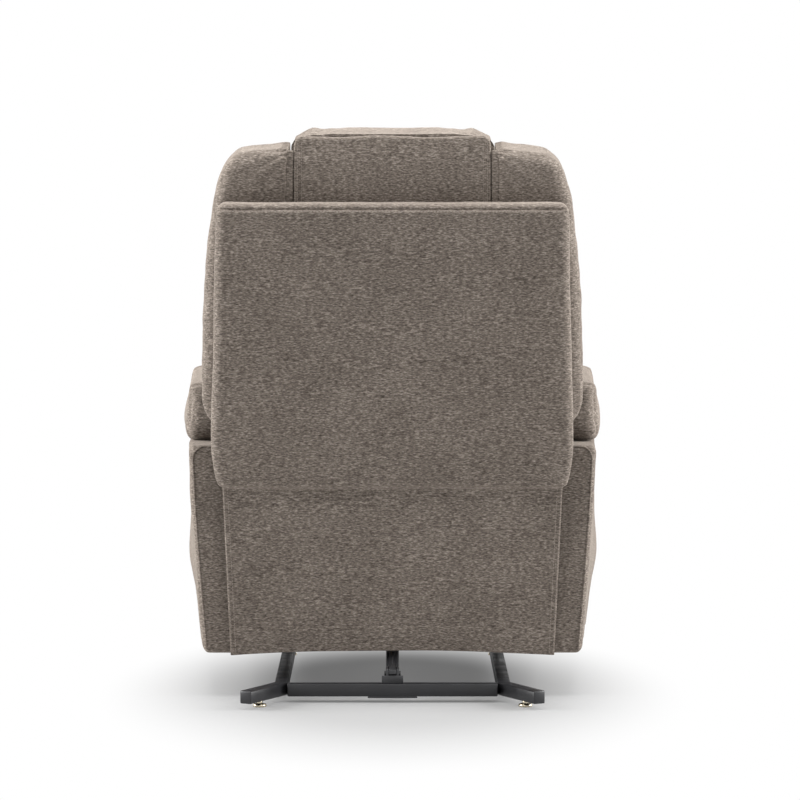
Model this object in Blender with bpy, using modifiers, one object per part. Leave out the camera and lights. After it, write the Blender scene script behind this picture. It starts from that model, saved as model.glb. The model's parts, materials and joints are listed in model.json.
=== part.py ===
"""Lift recliner chair: steel lift base, padded chair body, reclining back and swing-out footrest.

Metres, +Z up. The sitter looks along -Y, and +X is on the sitter's left. The origin lies on the
floor under the middle of the chair. The chair is modelled at rest: lowered, upright, footrest in.
"""

import math

import bmesh
import bpy
from mathutils import Matrix, Vector

# ---------------------------------------------------------------- driving dimensions
GAP = 0.0003            # between pieces that touch
EDGE_SHARE = 0.98       # from this share of its half size on, a point lies on a cushion's edge
WELD_SINK = 0.002       # how far a welded piece reaches into what carries it
PIN_PROUD = 0.003       # how far a pin's end stands out
CUT_REACH = 0.010       # how far a cutter runs past what it cuts
CORNER_TURN = 53.1301   # degrees, where a plate's round end is cut to a flat

# floor frame
TUBE = 0.025            # square tube of the floor frame
TUBE_EDGE = 0.0025      # rounding of its corners
FLOOR_CLEARANCE = 0.012  # height of the glides
RAIL_X = 0.219          # middle of each floor rail
RAIL_FRONT_Y = -0.360
REAR_BAR_Y = 0.354      # middle of the rear crossbar
FRONT_BAR_Y = -0.330
OUTRIGGER_X = 0.2875    # middle of the outrigger's end
OUTRIGGER_REACH = 0.116  # from the rear crossbar's middle to the outrigger's end
GLIDE_RADIUS = 0.0135
GLIDE_STEM = 0.006      # radius
GLIDE_DOME_Z = (0.007, 0.006, 0.004, 0.0015)  # stem's foot, dome, rim's top and rim's foot
GLIDE_DOME = 0.003
GLIDE_INSET = 0.055     # from an outrigger's end to the glide under it
FRONT_GLIDE_INSET = 0.030
MOTOR_PLATE_WIDTH = 0.097
MOTOR_PLATE_THICKNESS = 0.003

# lift linkage, seen from the side as (y, z)
LIFT_PIVOT = Vector((-0.220, 0.100))
LIFT_TOP = Vector((0.126, 0.150))
FRONT_PIVOT = Vector((-0.278, 0.087))
FRONT_TOP = Vector((-0.100, 0.110))
LINK_THICKNESS = 0.006
ARM_THICKNESS = 0.008
BRACKET_THICKNESS = 0.008
LIFT_ARM_X = 0.190      # middle of each lift arm
LINK_END = 0.018        # end radius of the lift arms
FRONT_LINK_END = 0.015
SHAFT_RADIUS = 0.009
PIN_RADIUS = 0.007
OPEN_CLEARANCE = 0.002  # round the pin of the open front link
LIFT_CRANK = 0.120
LIFT_CRANK_ANGLE = 62.0
MOTOR_PIVOT_AHEAD = 0.009  # ahead of the rear crossbar's middle
LIFT_MOTOR_PIVOT = Vector((REAR_BAR_Y - MOTOR_PIVOT_AHEAD, 0.055))
MOTOR_EAR_LEAN = 0.004
MOTOR_EAR_INSET = 0.005  # from the crossbar's rear face
LINK_SPACE = 0.003      # from a bracket to the link beside it
PLATE_SPACE = 0.002     # from the link to the lift plate
SHAFT_PROUD = 0.0015

# chair body
INNER_X = 0.265         # inner face of each side panel
SIDE_FRONT_X = 0.426    # outer face of a side panel in front
SIDE_REAR_X = 0.402     # and behind
SIDE_TAPER = 0.018      # how far the side panel's foot draws in in front
SIDE_REAR_TAPER = 0.028  # and behind, where the panel draws in from the top down
SIDE_REAR_CURVE = 1.3
SIDE_BOTTOM_Z = 0.087
SIDE_TOP_Z = 0.500
SIDE_EDGE = 0.018       # rounding of the padded panel
SIDE_TAPER_SHARE = 0.45  # share of the panel's height above where its foot draws in
SIDE_FULL_SHARE = 0.7   # share of its depth over which it widens from the rear
SIDE_FRONT_Y = -0.445
SIDE_REAR_Y = 0.295
ARM_TOP_Z = 0.630
ARM_INNER_X = 0.262
ARM_OUTER_X = 0.4365
ARM_TOP_DRAW = 0.022    # the rear of the pad's outer side leans in this far towards its top
ARM_EDGE = 0.030
ARM_REAR_DRAW = 0.020   # and the whole side draws in this far towards the rear
ARM_OUTER_DROP = 0.012  # the pad's top falls to its outer edge
ARM_FRONT_DROP = 0.020  # and to its front end
ARM_FRONT_SHARE = 0.6
ARM_FRONT_Y = -0.458
ARM_REAR_Y = 0.190
FRONT_RAIL_Y = (-0.420, -0.360)
FRONT_RAIL_HEIGHT = 0.025
REAR_RAIL_Y = (0.105, 0.130)
REAR_RAIL_HEIGHT = 0.045
DECK_Z = 0.3745         # underside of the seat cushion
SKIRT_RAIL_Y = (0.265, 0.290)
SKIRT_RAIL_Z = (0.125, 0.175)
SPRING_X = (-0.150, 0.0, 0.150)
SPRING_WIRE = 0.002     # radius
SPRING_SWING = 0.024
SPRING_WAVES = 6
SPRING_END_SHARE = 0.8  # of the wire's radius, by which its slanted end reaches further
SPRING_STEPS = 6        # points to a wave
SEAT_FRONT_Y = -0.462
SEAT_REAR_Y = 0.150
SEAT_TOP_Z = 0.500
SEAT_ROLL_Z = 0.358     # the front roll hangs down to here
SEAT_CROWN = 0.020
SEAT_EDGE = 0.034
SEAT_DRAW = 0.004       # its sides pull in between the corners
SEAT_FRONT_DROP = 0.018
SEAT_CHANNEL_DEPTH = 0.009
SEAT_ROLL_SLOPE = 0.0117  # over which the front roll comes down ahead of the rail
SEAT_CHANNEL_Y = -0.350  # the sewn line behind the front roll
SEAT_CHANNEL_HALF = 0.016
SKIRT_HEM_Z = 0.085
SKIRT_TOP_Z = 0.4203
SKIRT_HEM_Y = 0.2956
SKIRT_TOP_Y = 0.338
SKIRT_HALF = 0.328
SKIRT_THICKNESS = 0.007
SKIRT_EDGE = 0.003
PLATE_AHEAD = 0.030     # lift plate: ahead of the front pin and behind the rear one
PLATE_TOP_Z = 0.240
PLATE_BOSS_Z = 0.215
PLATE_BOSS = 0.012      # radius
PLATE_UNDER = 0.020     # below its pins
PLATE_CORNER = 0.015
CROSS_TUBE = Vector((-0.200, 0.338))
CROSS_TUBE_RADIUS = 0.0125

# backrest, in its own leaning frame: x across, d to the rear, h up from the hinge
HINGE = Vector((0.215, 0.400))
LEAN = 7.0
BACK_REAR_D = 0.165
BACK_FRONT_D = 0.105
BACK_LOW_H = 0.035
BACK_TOP_H = 0.600
BACK_TOP_HALF = 0.339
BACK_WIDE_HALF = 0.354
BACK_WIDE_H = 0.110     # height of the widest place
BACK_KINK_H = 0.075
BACK_KINK_DRAW = 0.004
BACK_FOOT_DRAW = 0.018
BACK_EDGE = 0.020
BACK_CROWN = 0.006
BACK_FOOT_HEIGHT = 0.185  # its padding thins over this height, down to its foot
BACK_FOOT_THIN = 0.037
WING_INNER = 0.205
WING_OUTER = 0.375
WING_SHOULDER_DRAW = (0.017, 0.002, 0.0, 0.006, 0.014, 0.026, 0.040, 0.063)
WING_SHOULDER_H = (0.150, 0.200, 0.280, 0.400, 0.510, 0.600, 0.650, 0.700)
WING_CLEAR_H = (0.200, 0.275)  # the wing is shallow below, at the arm, and full above
WING_EDGE = 0.034
WING_TIP_H = 0.600      # above here its front edge falls back
WING_TIP_SPAN = 0.100
WING_TIP_DRAW = 0.030
WING_TOP_DROP = 0.016
WING_LOW_H = 0.150
WING_TOP_H = 0.697
WING_DEPTH = 0.195
WING_NOTCH_DEPTH = 0.1045
PILLOW_HALF = 0.2045
PILLOW_REAR_D = 0.0823
PILLOW_EDGE = 0.034
PILLOW_DRAW = 0.004
FRAME_TUBE = 0.011
BACK_LUG_END = 0.016
FRAME_X = 0.170
FRAME_BELOW_FLAP = 0.018  # from the flap's foot down to the frame's top
FRAME_END = 0.020       # the uprights run past the rails
FRAME_RAIL = 0.0099     # radius of the two rails
FRAME_RAIL_REACH = 0.010
LUG_THICKNESS = 0.006
HINGE_SPACE = 0.005     # from a lug to the ear beside it
HINGE_DROP = 0.060      # from the hinge down to the ear's post
HINGE_EAR = 0.018       # radius
HINGE_POST = 0.012      # radius
FRAME_LOW_H = 0.118
FLAP_HALF = 0.193
FLAP_COVERED = 0.034    # the outside back hides this much of the flap
FLAP_HEIGHT = 0.145
FLAP_LOW_H = BACK_TOP_H - FLAP_COVERED
FLAP_TOP_H = FLAP_LOW_H + FLAP_HEIGHT
FLAP_THICKNESS = 0.013
HEAD_LOW_H = 0.580
HEAD_TOP_H = 0.726
HEAD_FRONT_D = -0.100
HEAD_HALF = 0.200
HEAD_CROWN = 0.014
HEAD_CORNER_DROP = 0.012
FLAP_EDGE = 0.005
MIDDLE_LOW_H = 0.345
MIDDLE_BELOW_HEAD = 0.018
MIDDLE_FRONT_D = -0.088
MIDDLE_CROWN = 0.016
LUMBAR_LOW_H = 0.130
LUMBAR_FRONT_D = -0.092
LUMBAR_CROWN = 0.018
RECLINE_CRANK = 0.110
RECLINE_CRANK_ANGLE = -71.0
RECLINE_X = -0.080
RECLINE_MOTOR_PIVOT = Vector((-0.150, 0.300))

# footrest, seen from the side as (y, z)
FOOT_PIVOT = Vector((-0.335, 0.330))
FOOT_ARM = 0.165
FOOT_REST_ANGLE = 7.0
FOOT_TUBE = 0.011
FOOT_ARM_X = 0.247
FOOT_LINK_X = 0.238
FOOT_LUG_X = 0.229
FOOT_END = 0.012
FOOT_PIN = 0.005
FOOT_BAR = 0.006        # thickness of the linkage's flat bars
FOOT_PIN_REACH = 0.004
FOOT_HALF = 0.255
FOOT_BOARD_AHEAD = 0.0350802  # from the tip pin to the board's back
FOOT_BOARD_BELOW = 0.002
FOOT_LUG_DROP = 0.050
FOOT_LUG_LEAN = 0.004
FOOT_LUG_RISE = 0.0072
FOOT_ARM_END = 0.018
FOOT_PAD_EDGE = 0.018
FOOT_PAD_DRAW = 0.003
FOOT_BOARD_THICKNESS = 0.015
FOOT_PAD_THICKNESS = 0.0447
FOOT_LOW_Z = 0.085
FOOT_CRANK = 0.045
FOOT_CRANK_ANGLE = -46.0
FOOT_X = 0.080
FOOT_MOTOR_PIVOT = Vector((0.1175, 0.300))

# actuators
EYE_THICKNESS = 0.014
CLEVIS_WALL = 0.005
CLEVIS_CLEARANCE = 0.001
MOTOR_PIN = 0.005
EYE_RADIUS = 0.012
GEARBOX = 0.050
GEARBOX_START = 0.022   # from the pivot
GEARBOX_WALL = 0.005    # round the tube
BARREL_INSET = 0.004    # from the gearbox's end to the motor barrel's
SADDLE_SHARE = 0.3      # half width of the saddle, as a share of the gearbox
SADDLE_HALF = 0.012
EYE_REACH = 0.020       # solid length behind an eye
ROD_START = 0.012
EYE_WALL = 0.0055       # round a slot
NECK_START = 0.005
NECK_SINK = 0.006
NECK_LENGTH = 0.032     # from a crank pin to the solid part of the actuator
NECK_HALF = 0.0085
DRAW_IN = 0.078         # room behind a rod inside its housing
TUBE_RADIUS = 0.016
ROD_RADIUS = 0.0095
LIFT_ROD_RADIUS = 0.0128
LIFT_TUBE_RADIUS = 0.020
BARREL_RADIUS = 0.021
BARREL_LENGTH = 0.095
BARREL_OFFSET = 0.042
# how far from its pivot each housing's tube ends, how far the rod reaches into it, and its
# eye's slot as a half width and a half height
LIFT_SPLIT = 0.190
LIFT_DRIVE = 0.150
LIFT_SLOT = (0.0075, 0.0140)
RECLINE_SPLIT = 0.270
RECLINE_DRIVE = 0.060
RECLINE_SLOT = (0.0065, 0.0105)
FOOT_SPLIT = 0.260
FOOT_DRIVE = 0.110
FOOT_SLOT = (0.0075, 0.0160)

# control panel, let into the right side panel
PANEL_Y = (-0.360, -0.230)
PANEL_Z = (0.400, 0.445)
PANEL_DEPTH = 0.012
PANEL_PROUD = 0.001
PANEL_EDGE = 0.001
BUTTON_EDGE = 0.0008
BUTTON_FLOOR = 0.0005   # left behind a button that is pressed in
BUTTON_RADIUS = 0.009
BUTTON_PROUD = 0.0035
BUTTON_TRAVEL = 0.0015
BUTTONS = ("raise_button", "lower_button", "recline_button", "sit_up_button")

# control box under the seat
CONTROL_BOX = Vector((0.110, 0.040, 0.075))
CONTROL_BOX_X = -0.110
CONTROL_BOX_DROP = 0.004  # from the deck to the box's top
INLET = Vector((0.018, 0.014, 0.015))
INLET_INSET = 0.022     # from the box's end to the middle of the inlet
CONTROL_BOX_EDGE = 0.003


# ---------------------------------------------------------------- scene and materials
def clear_scene():
    for old in list(bpy.data.objects):
        bpy.data.objects.remove(old, do_unlink=True)


def new_collection(name):
    collection = bpy.data.collections.new(name)
    bpy.context.scene.collection.children.link(collection)
    return collection


def make_material(name, color, roughness, metallic):
    material = bpy.data.materials.new(name)
    material.use_nodes = True
    shader = material.node_tree.nodes["Principled BSDF"]
    shader.inputs["Base Color"].default_value = (*color, 1.0)
    shader.inputs["Roughness"].default_value = roughness
    shader.inputs["Metallic"].default_value = metallic
    return material


clear_scene()
parts = new_collection("lift_recliner_chair")
cutters = new_collection("cutters")
cutters.hide_render = True

CHENILLE = make_material("taupe chenille", (0.155, 0.130, 0.112), 0.95, 0.0)
BLACK_STEEL = make_material("black powder-coated steel", (0.018, 0.018, 0.020), 0.45, 0.0)
NICKEL = make_material("nickel-plated steel", (0.66, 0.62, 0.55), 0.25, 1.0)
PLYWOOD = make_material("plywood", (0.47, 0.31, 0.17), 0.70, 0.0)
ZINC = make_material("zinc-plated steel", (0.55, 0.56, 0.58), 0.35, 1.0)
ABS = make_material("black ABS", (0.025, 0.025, 0.028), 0.50, 0.0)
BUTTON_GREY = make_material("grey ABS", (0.35, 0.35, 0.36), 0.45, 0.0)


# ---------------------------------------------------------------- bodies and objects
def body(name, place, parent=None, lean=0.0):
    """An empty on the body's joint axis, which carries its pieces."""
    empty = bpy.data.objects.new(name, None)
    parts.objects.link(empty)
    world = Matrix.Translation(place) @ Matrix.Rotation(math.radians(-lean), 4, "X")
    if parent:
        empty.parent = parent
        empty.matrix_parent_inverse = parent.matrix_world.inverted()
    empty.matrix_world = world
    bpy.context.view_layer.update()
    return empty


def place_mesh(name, bm, material, owner, local=False):
    """Turns bm into the named object. Its points are in the world frame, or in its body's."""
    mesh = bpy.data.meshes.new(name)
    bm.normal_update()
    bm.to_mesh(mesh)
    bm.free()
    obj = bpy.data.objects.new(name, mesh)
    if material:
        mesh.materials.append(material)
        parts.objects.link(obj)
    else:
        cutters.objects.link(obj)
        obj.hide_render = True
        obj.display_type = "WIRE"
    if owner:
        obj.parent = owner
        if not local:
            mesh.transform(owner.matrix_world.inverted())
    mesh.shade_smooth()
    mesh.set_sharp_from_angle(angle=math.radians(35))
    return obj


def boolean(obj, tool, operation):
    modifier = obj.modifiers.new(f"{operation.lower()} {tool.name}", "BOOLEAN")
    modifier.operation = operation
    modifier.object = tool
    modifier.solver = "EXACT"


def cube_bmesh(low, high):
    bm = bmesh.new()
    bmesh.ops.create_cube(bm, size=1.0)
    size = Vector(high) - Vector(low)
    bmesh.ops.scale(bm, vec=size, verts=bm.verts)
    bmesh.ops.translate(bm, vec=Vector(low) + size / 2, verts=bm.verts)
    return bm


def box(name, low, high, material, owner, bevel=0.0, local=False):
    obj = place_mesh(name, cube_bmesh(low, high), material, owner, local)
    if bevel:
        modifier = obj.modifiers.new("rounded edges", "BEVEL")
        modifier.width = bevel
        modifier.segments = 2
        modifier.limit_method = "ANGLE"
    return obj


def rod(name, start, end, radius, material, owner, local=False, sides=12):
    """A round bar from start to end."""
    start, end = Vector(start), Vector(end)
    along = end - start
    bm = bmesh.new()
    bmesh.ops.create_cone(bm, cap_ends=True, segments=sides, radius1=radius, radius2=radius,
                          depth=along.length)
    turn = along.to_track_quat("Z", "Y").to_matrix().to_4x4()
    bmesh.ops.transform(bm, matrix=Matrix.Translation((start + end) / 2) @ turn, verts=bm.verts)
    return place_mesh(name, bm, material, owner, local)


def bore(obj, start, end, radius, owner=None, local=False, sides=12):
    """Drills a hole through obj from start to end. Its flat sides lie at radius, so a pin can turn."""
    corner_radius = radius / math.cos(math.pi / sides)
    cutter = rod(f"{obj.name}_bore", start, end, corner_radius, None, owner, local, sides)
    boolean(obj, cutter, "DIFFERENCE")


def weld(obj, other):
    """Joins other to obj as one solid."""
    boolean(obj, other, "UNION")


def flat_plate(name, outline, low, high, material, owner, plane="YZ", local=False):
    """A plate cut to a flat outline. It runs from low to high along the third axis."""
    curve = bpy.data.curves.new(name, "CURVE")
    curve.dimensions = "2D"
    curve.fill_mode = "BOTH"
    curve.extrude = (high - low) / 2
    spline = curve.splines.new("POLY")
    spline.points.add(len(outline) - 1)
    for point, (a, b) in zip(spline.points, outline):
        point.co = (a, b, 0.0, 1.0)
    spline.use_cyclic_u = True
    guide = bpy.data.objects.new(name, curve)
    bpy.context.scene.collection.objects.link(guide)
    bpy.context.view_layer.update()
    graph = bpy.context.evaluated_depsgraph_get()
    mesh = bpy.data.meshes.new_from_object(guide.evaluated_get(graph))
    bm = bmesh.new()
    bm.from_mesh(mesh)
    bmesh.ops.remove_doubles(bm, verts=bm.verts, dist=0.00001)
    bmesh.ops.recalc_face_normals(bm, faces=bm.faces)
    bpy.data.objects.remove(guide, do_unlink=True)
    middle = (low + high) / 2
    if plane == "YZ":
        turn = Matrix(((0, 0, 1, middle), (1, 0, 0, 0), (0, 1, 0, 0), (0, 0, 0, 1)))
    else:
        turn = Matrix.Translation((0, 0, middle))
    bmesh.ops.transform(bm, matrix=turn, verts=bm.verts)
    return place_mesh(name, bm, material, owner, local)


def link_outline(first, last, radius, steps=5):
    """The outline of a flat link with round ends about two pins."""
    along = (last - first).angle_signed(Vector((1.0, 0.0)))
    points = []
    for centre, begin in ((last, -90.0), (first, 90.0)):
        for step in range(steps + 1):
            angle = along + math.radians(begin + 180.0 * step / steps)
            points.append(centre + radius * Vector((math.cos(angle), math.sin(angle))))
    return points


def cross_bore(obj, pivot, low, high, radius, owner=None):
    """Drills obj along X at a side-view point, through the plate that runs from low to high."""
    bore(obj, side_view(low - CUT_REACH, pivot), side_view(high + CUT_REACH, pivot), radius, owner)


def on_side(side, low, high):
    """The plate's X range on one side of the chair, in rising order."""
    return sorted((side * low, side * high))


def polar(centre, radius, degrees):
    angle = math.radians(degrees)
    return centre + radius * Vector((math.cos(angle), math.sin(angle)))


def side_view(x, point):
    """The space point at x of a (y, z) point of the side view."""
    return Vector((x, point[0], point[1]))


# ---------------------------------------------------------------- soft forms
def cut_places(half, corner, count):
    """Where a padded box is cut: at the start and middle of its rounding, and evenly between."""
    edge = half - corner
    places = [-edge + 2 * edge * i / (count + 1) for i in range(count + 2)]
    turn = corner * (1 - math.tan(math.radians(22.5)))
    return places + [-(half - turn), half - turn]


def soft_box(name, low, high, cuts, corner, owner, form=None, local=False, extra=()):
    """A padded box with rounded edges. form(point, share) then moves each point; share runs
    from -1 to 1 along each side. extra holds further cuts, each an axis and a place."""
    low, high = Vector(low), Vector(high)
    half = (high - low) / 2
    centre = (high + low) / 2
    bm = cube_bmesh(-half, half)
    for axis in range(3):
        normal = Vector((0, 0, 0))
        normal[axis] = 1.0
        places = cut_places(half[axis], corner, cuts[axis])
        places += [place - centre[axis] for cut_axis, place in extra if cut_axis == axis]
        for place in places:
            bmesh.ops.bisect_plane(bm, geom=bm.verts[:] + bm.edges[:] + bm.faces[:],
                                   plane_co=normal * place, plane_no=normal, dist=0.00001)
    for vert in bm.verts:
        share = Vector(vert.co[i] / half[i] for i in range(3))
        inner = Vector(max(corner - half[i], min(half[i] - corner, vert.co[i])) for i in range(3))
        out = vert.co - inner
        if out.length > 0:
            out = out.normalized() * corner
        point = centre + inner + out
        vert.co = form(point, share) if form else point
    bmesh.ops.recalc_face_normals(bm, faces=bm.faces)
    return place_mesh(name, bm, CHENILLE, owner, local)


def dome(a, b):
    """1 in the middle of a face, 0 along its edges."""
    return (1 - a * a) * (1 - b * b)


def on_edge(share):
    """1 on the two outermost rows of points, where a cushion's sides pull in."""
    return 1.0 if abs(share) > EDGE_SHARE else 0.0


def groove(distance, width):
    """1 on a sewn line, fading out on both sides."""
    return math.exp(-(distance / width) ** 2)


def steps_between(value, table):
    """Reads a smooth value from (place, value) pairs in rising order of place."""
    if value <= table[0][0]:
        return table[0][1]
    for (a, low), (b, high) in zip(table, table[1:]):
        if value <= b:
            share = (value - a) / (b - a)
            return low + (high - low) * share
    return table[-1][1]


# ---------------------------------------------------------------- bodies
base = body("base", (0, 0, 0))
lift_arm = body("lift_arm", side_view(0, LIFT_PIVOT), base)
front_link = body("front_link", side_view(0, FRONT_PIVOT), base)
lift_rod = body("lift_rod", side_view(0, LIFT_MOTOR_PIVOT), base)
lift_motor = body("lift_motor", side_view(0, LIFT_MOTOR_PIVOT), lift_rod)
chair = body("chair", side_view(0, LIFT_TOP), lift_arm)
back = body("back", side_view(0, HINGE), chair, LEAN)
recline_motor = body("recline_motor", side_view(RECLINE_X, RECLINE_MOTOR_PIVOT), chair)
recline_rod = body("recline_rod", side_view(RECLINE_X, RECLINE_MOTOR_PIVOT), recline_motor)
foot_elbow = polar(FOOT_PIVOT, FOOT_ARM, -90.0 - FOOT_REST_ANGLE)
foot_tip = polar(foot_elbow, FOOT_ARM, 90.0 + FOOT_REST_ANGLE)
foot_arm = body("foot_arm", side_view(0, FOOT_PIVOT), chair)
foot_link = body("foot_link", side_view(0, foot_elbow), foot_arm)
footrest = body("footrest", side_view(0, foot_tip), foot_link)
foot_motor = body("foot_motor", side_view(FOOT_X, FOOT_MOTOR_PIVOT), chair)
foot_rod = body("foot_rod", side_view(FOOT_X, FOOT_MOTOR_PIVOT), foot_motor)
SIDES = (("left", 1), ("right", -1))


# ---------------------------------------------------------------- floor frame
def floor_rail(name, side):
    """A square tube along the floor, bent outwards into the rear outrigger."""
    top = FLOOR_CLEARANCE + TUBE
    half = TUBE / 2
    bend_y = REAR_BAR_Y - half
    tip_y = REAR_BAR_Y + OUTRIGGER_REACH
    run = Vector((OUTRIGGER_X - RAIL_X, tip_y - bend_y)).normalized()
    across = Vector((run.y, -run.x)) * half
    end_y = tip_y - abs(across.y)
    end = Vector((RAIL_X, bend_y)) + run * ((end_y - bend_y) / run.y)
    outer_bend = bend_y - half * math.tan(math.atan2(run.x, run.y) / 2)
    inner_bend = bend_y + half * math.tan(math.atan2(run.x, run.y) / 2)
    outline = [(RAIL_X - half, RAIL_FRONT_Y), (RAIL_X + half, RAIL_FRONT_Y),
               (RAIL_X + half, outer_bend), tuple(end + across), tuple(end - across),
               (RAIL_X - half, inner_bend)]
    outline = [(side * x, y) for x, y in outline]
    rail = flat_plate(name, outline, FLOOR_CLEARANCE, top, BLACK_STEEL, base, plane="XY")
    modifier = rail.modifiers.new("tube corners", "BEVEL")
    modifier.width = TUBE_EDGE
    modifier.segments = 2
    modifier.limit_method = "ANGLE"
    modifier.angle_limit = math.radians(60)
    return end


def glide(name, x, y):
    """A domed metal disc under a short stem, turned in one piece."""
    top = FLOOR_CLEARANCE - GAP
    stem_z, dome_z, rim_top, rim_foot = GLIDE_DOME_Z
    profile = [(0.0, top), (GLIDE_STEM, top), (GLIDE_STEM, stem_z), (GLIDE_RADIUS - GLIDE_DOME, dome_z),
               (GLIDE_RADIUS, rim_top), (GLIDE_RADIUS, rim_foot), (GLIDE_RADIUS - rim_foot, 0.0), (0.0, 0.0)]
    mesh = bpy.data.meshes.new(name)
    bm = bmesh.new()
    verts = [bm.verts.new((r, 0, z)) for r, z in profile]
    for first, last in zip(verts, verts[1:]):
        bm.edges.new((first, last))
    bm.to_mesh(mesh)
    bm.free()
    mesh.materials.append(NICKEL)
    obj = bpy.data.objects.new(name, mesh)
    parts.objects.link(obj)
    obj.parent = base
    obj.location = (x, y, 0)
    screw = obj.modifiers.new("turned", "SCREW")
    screw.steps = screw.render_steps = 20
    screw.use_merge_vertices = True
    screw.merge_threshold = 0.0001
    screw.use_smooth_shade = True


def pivot_bracket(name, side):
    """The steel ear on a rail that holds the lift pivot and the front link's pivot."""
    low = FLOOR_CLEARANCE + TUBE + GAP
    reach = LINK_END
    outline = [(FRONT_PIVOT.x - reach, low), (LIFT_PIVOT.x + 2 * reach, low),
               polar(LIFT_PIVOT, reach, 0), polar(LIFT_PIVOT, reach, CORNER_TURN),
               polar(LIFT_PIVOT, reach, 2 * CORNER_TURN), polar(FRONT_PIVOT, reach, 90),
               polar(FRONT_PIVOT, reach, 180 - CORNER_TURN / 2), polar(FRONT_PIVOT, reach, 180)]
    low_x, high_x = on_side(side, RAIL_X - BRACKET_THICKNESS / 2, RAIL_X + BRACKET_THICKNESS / 2)
    plate = flat_plate(name, outline, low_x, high_x, BLACK_STEEL, base)
    for pivot, radius in ((LIFT_PIVOT, SHAFT_RADIUS), (FRONT_PIVOT, PIN_RADIUS)):
        cross_bore(plate, pivot, low_x, high_x, radius + GAP)


def weld_ears(carrier, pivot, x, outline, owner):
    """Welds two ears and their pin to the carrier, to hold an actuator's eye."""
    inner = EYE_THICKNESS / 2 + CLEVIS_CLEARANCE
    outer = inner + CLEVIS_WALL
    for sign in (-1, 1):
        low, high = sorted((x + sign * inner, x + sign * outer))
        weld(carrier, flat_plate(f"{carrier.name}_ear", outline, low, high, None, owner))
    weld(carrier, rod(f"{carrier.name}_pin", side_view(x - outer - PIN_PROUD, pivot),
                      side_view(x + outer + PIN_PROUD, pivot), MOTOR_PIN, None, owner))


def make_floor_frame():
    top = FLOOR_CLEARANCE + TUBE
    half = TUBE / 2
    inner = RAIL_X - half - GAP
    for label, side in SIDES:
        end = floor_rail(f"floor_rail_{label}", side)
        pivot_bracket(f"pivot_bracket_{label}", side)
        run = (end - Vector((RAIL_X, REAR_BAR_Y - half))).normalized()
        foot = end - run * GLIDE_INSET
        glide(f"glide_rear_{label}", side * foot.x, foot.y)
        glide(f"glide_front_{label}", side * RAIL_X, RAIL_FRONT_Y + FRONT_GLIDE_INSET)
    low = FLOOR_CLEARANCE
    bar = box("rear_crossbar", (-inner, REAR_BAR_Y - half, low), (inner, REAR_BAR_Y + half, top),
              BLACK_STEEL, base, TUBE_EDGE)
    box("front_crossbar", (-inner, FRONT_BAR_Y - half, low), (inner, FRONT_BAR_Y + half, top),
        BLACK_STEEL, base, TUBE_EDGE)
    plate_half = MOTOR_PLATE_WIDTH / 2
    weld(bar, box("motor_plate", (-plate_half, REAR_BAR_Y - half, low - MOTOR_PLATE_THICKNESS),
                  (plate_half, REAR_BAR_Y + half, low + WELD_SINK / 2), None, base))
    pivot = LIFT_MOTOR_PIVOT
    foot = top - WELD_SINK
    ears = [polar(pivot, EYE_RADIUS, 180), (pivot.x - EYE_RADIUS + MOTOR_EAR_LEAN, foot),
            (REAR_BAR_Y + half - MOTOR_EAR_INSET, foot), polar(pivot, EYE_RADIUS, 0),
            polar(pivot, EYE_RADIUS, CORNER_TURN), polar(pivot, EYE_RADIUS, 90),
            polar(pivot, EYE_RADIUS, 180 - CORNER_TURN)]
    weld_ears(bar, pivot, 0.0, ears, base)


# ---------------------------------------------------------------- lift linkage
def make_lift_linkage():
    shaft_end = RAIL_X + BRACKET_THICKNESS / 2 + SHAFT_PROUD
    link_inner, link_outer = front_link_x()
    plate_outer = lift_plate_x()[1]
    for label, side in SIDES:
        low_x, high_x = on_side(side, LIFT_ARM_X - ARM_THICKNESS / 2, LIFT_ARM_X + ARM_THICKNESS / 2)
        arm = flat_plate(f"lift_arm_{label}", link_outline(LIFT_PIVOT, LIFT_TOP, LINK_END), low_x, high_x,
                         BLACK_STEEL, lift_arm)
        weld(arm, rod(f"lift_arm_pin_{label}", side_view(side * LIFT_ARM_X, LIFT_TOP),
                      side_view(side * (plate_outer + WELD_SINK), LIFT_TOP), PIN_RADIUS, None, lift_arm))
        cross_bore(arm, LIFT_PIVOT, low_x, high_x, SHAFT_RADIUS + GAP)
        low_x, high_x = on_side(side, link_inner, link_outer)
        outline = link_outline(FRONT_PIVOT, FRONT_TOP, FRONT_LINK_END)
        link = flat_plate(f"front_link_{label}", outline, low_x, high_x, BLACK_STEEL, front_link)
        pin_root = side * (link_inner + LINK_THICKNESS / 2)
        pin_end = side * (RAIL_X - BRACKET_THICKNESS / 2 - WELD_SINK)
        weld(link, rod(f"front_link_pin_{label}", side_view(pin_root, FRONT_PIVOT),
                       side_view(pin_end, FRONT_PIVOT), PIN_RADIUS, None, front_link))
        cross_bore(link, FRONT_TOP, low_x, high_x, PIN_RADIUS + OPEN_CLEARANCE)
    shaft = rod("lift_crank_shaft", side_view(-shaft_end, LIFT_PIVOT), side_view(shaft_end, LIFT_PIVOT),
                SHAFT_RADIUS, BLACK_STEEL, lift_arm)
    add_crank(shaft, LIFT_PIVOT, lift_crank_pin(), 0.0, lift_arm)


def front_link_x():
    inner = RAIL_X + BRACKET_THICKNESS / 2 + LINK_SPACE
    return inner, inner + LINK_THICKNESS


def lift_plate_x():
    inner = front_link_x()[1] + PLATE_SPACE
    return inner, inner + LINK_THICKNESS


def lift_crank_pin():
    return polar(LIFT_PIVOT, LIFT_CRANK, LIFT_CRANK_ANGLE)


def recline_crank_pin():
    return polar(HINGE, RECLINE_CRANK, RECLINE_CRANK_ANGLE)


def foot_crank_pin():
    return polar(FOOT_PIVOT, FOOT_CRANK, FOOT_CRANK_ANGLE)


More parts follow.
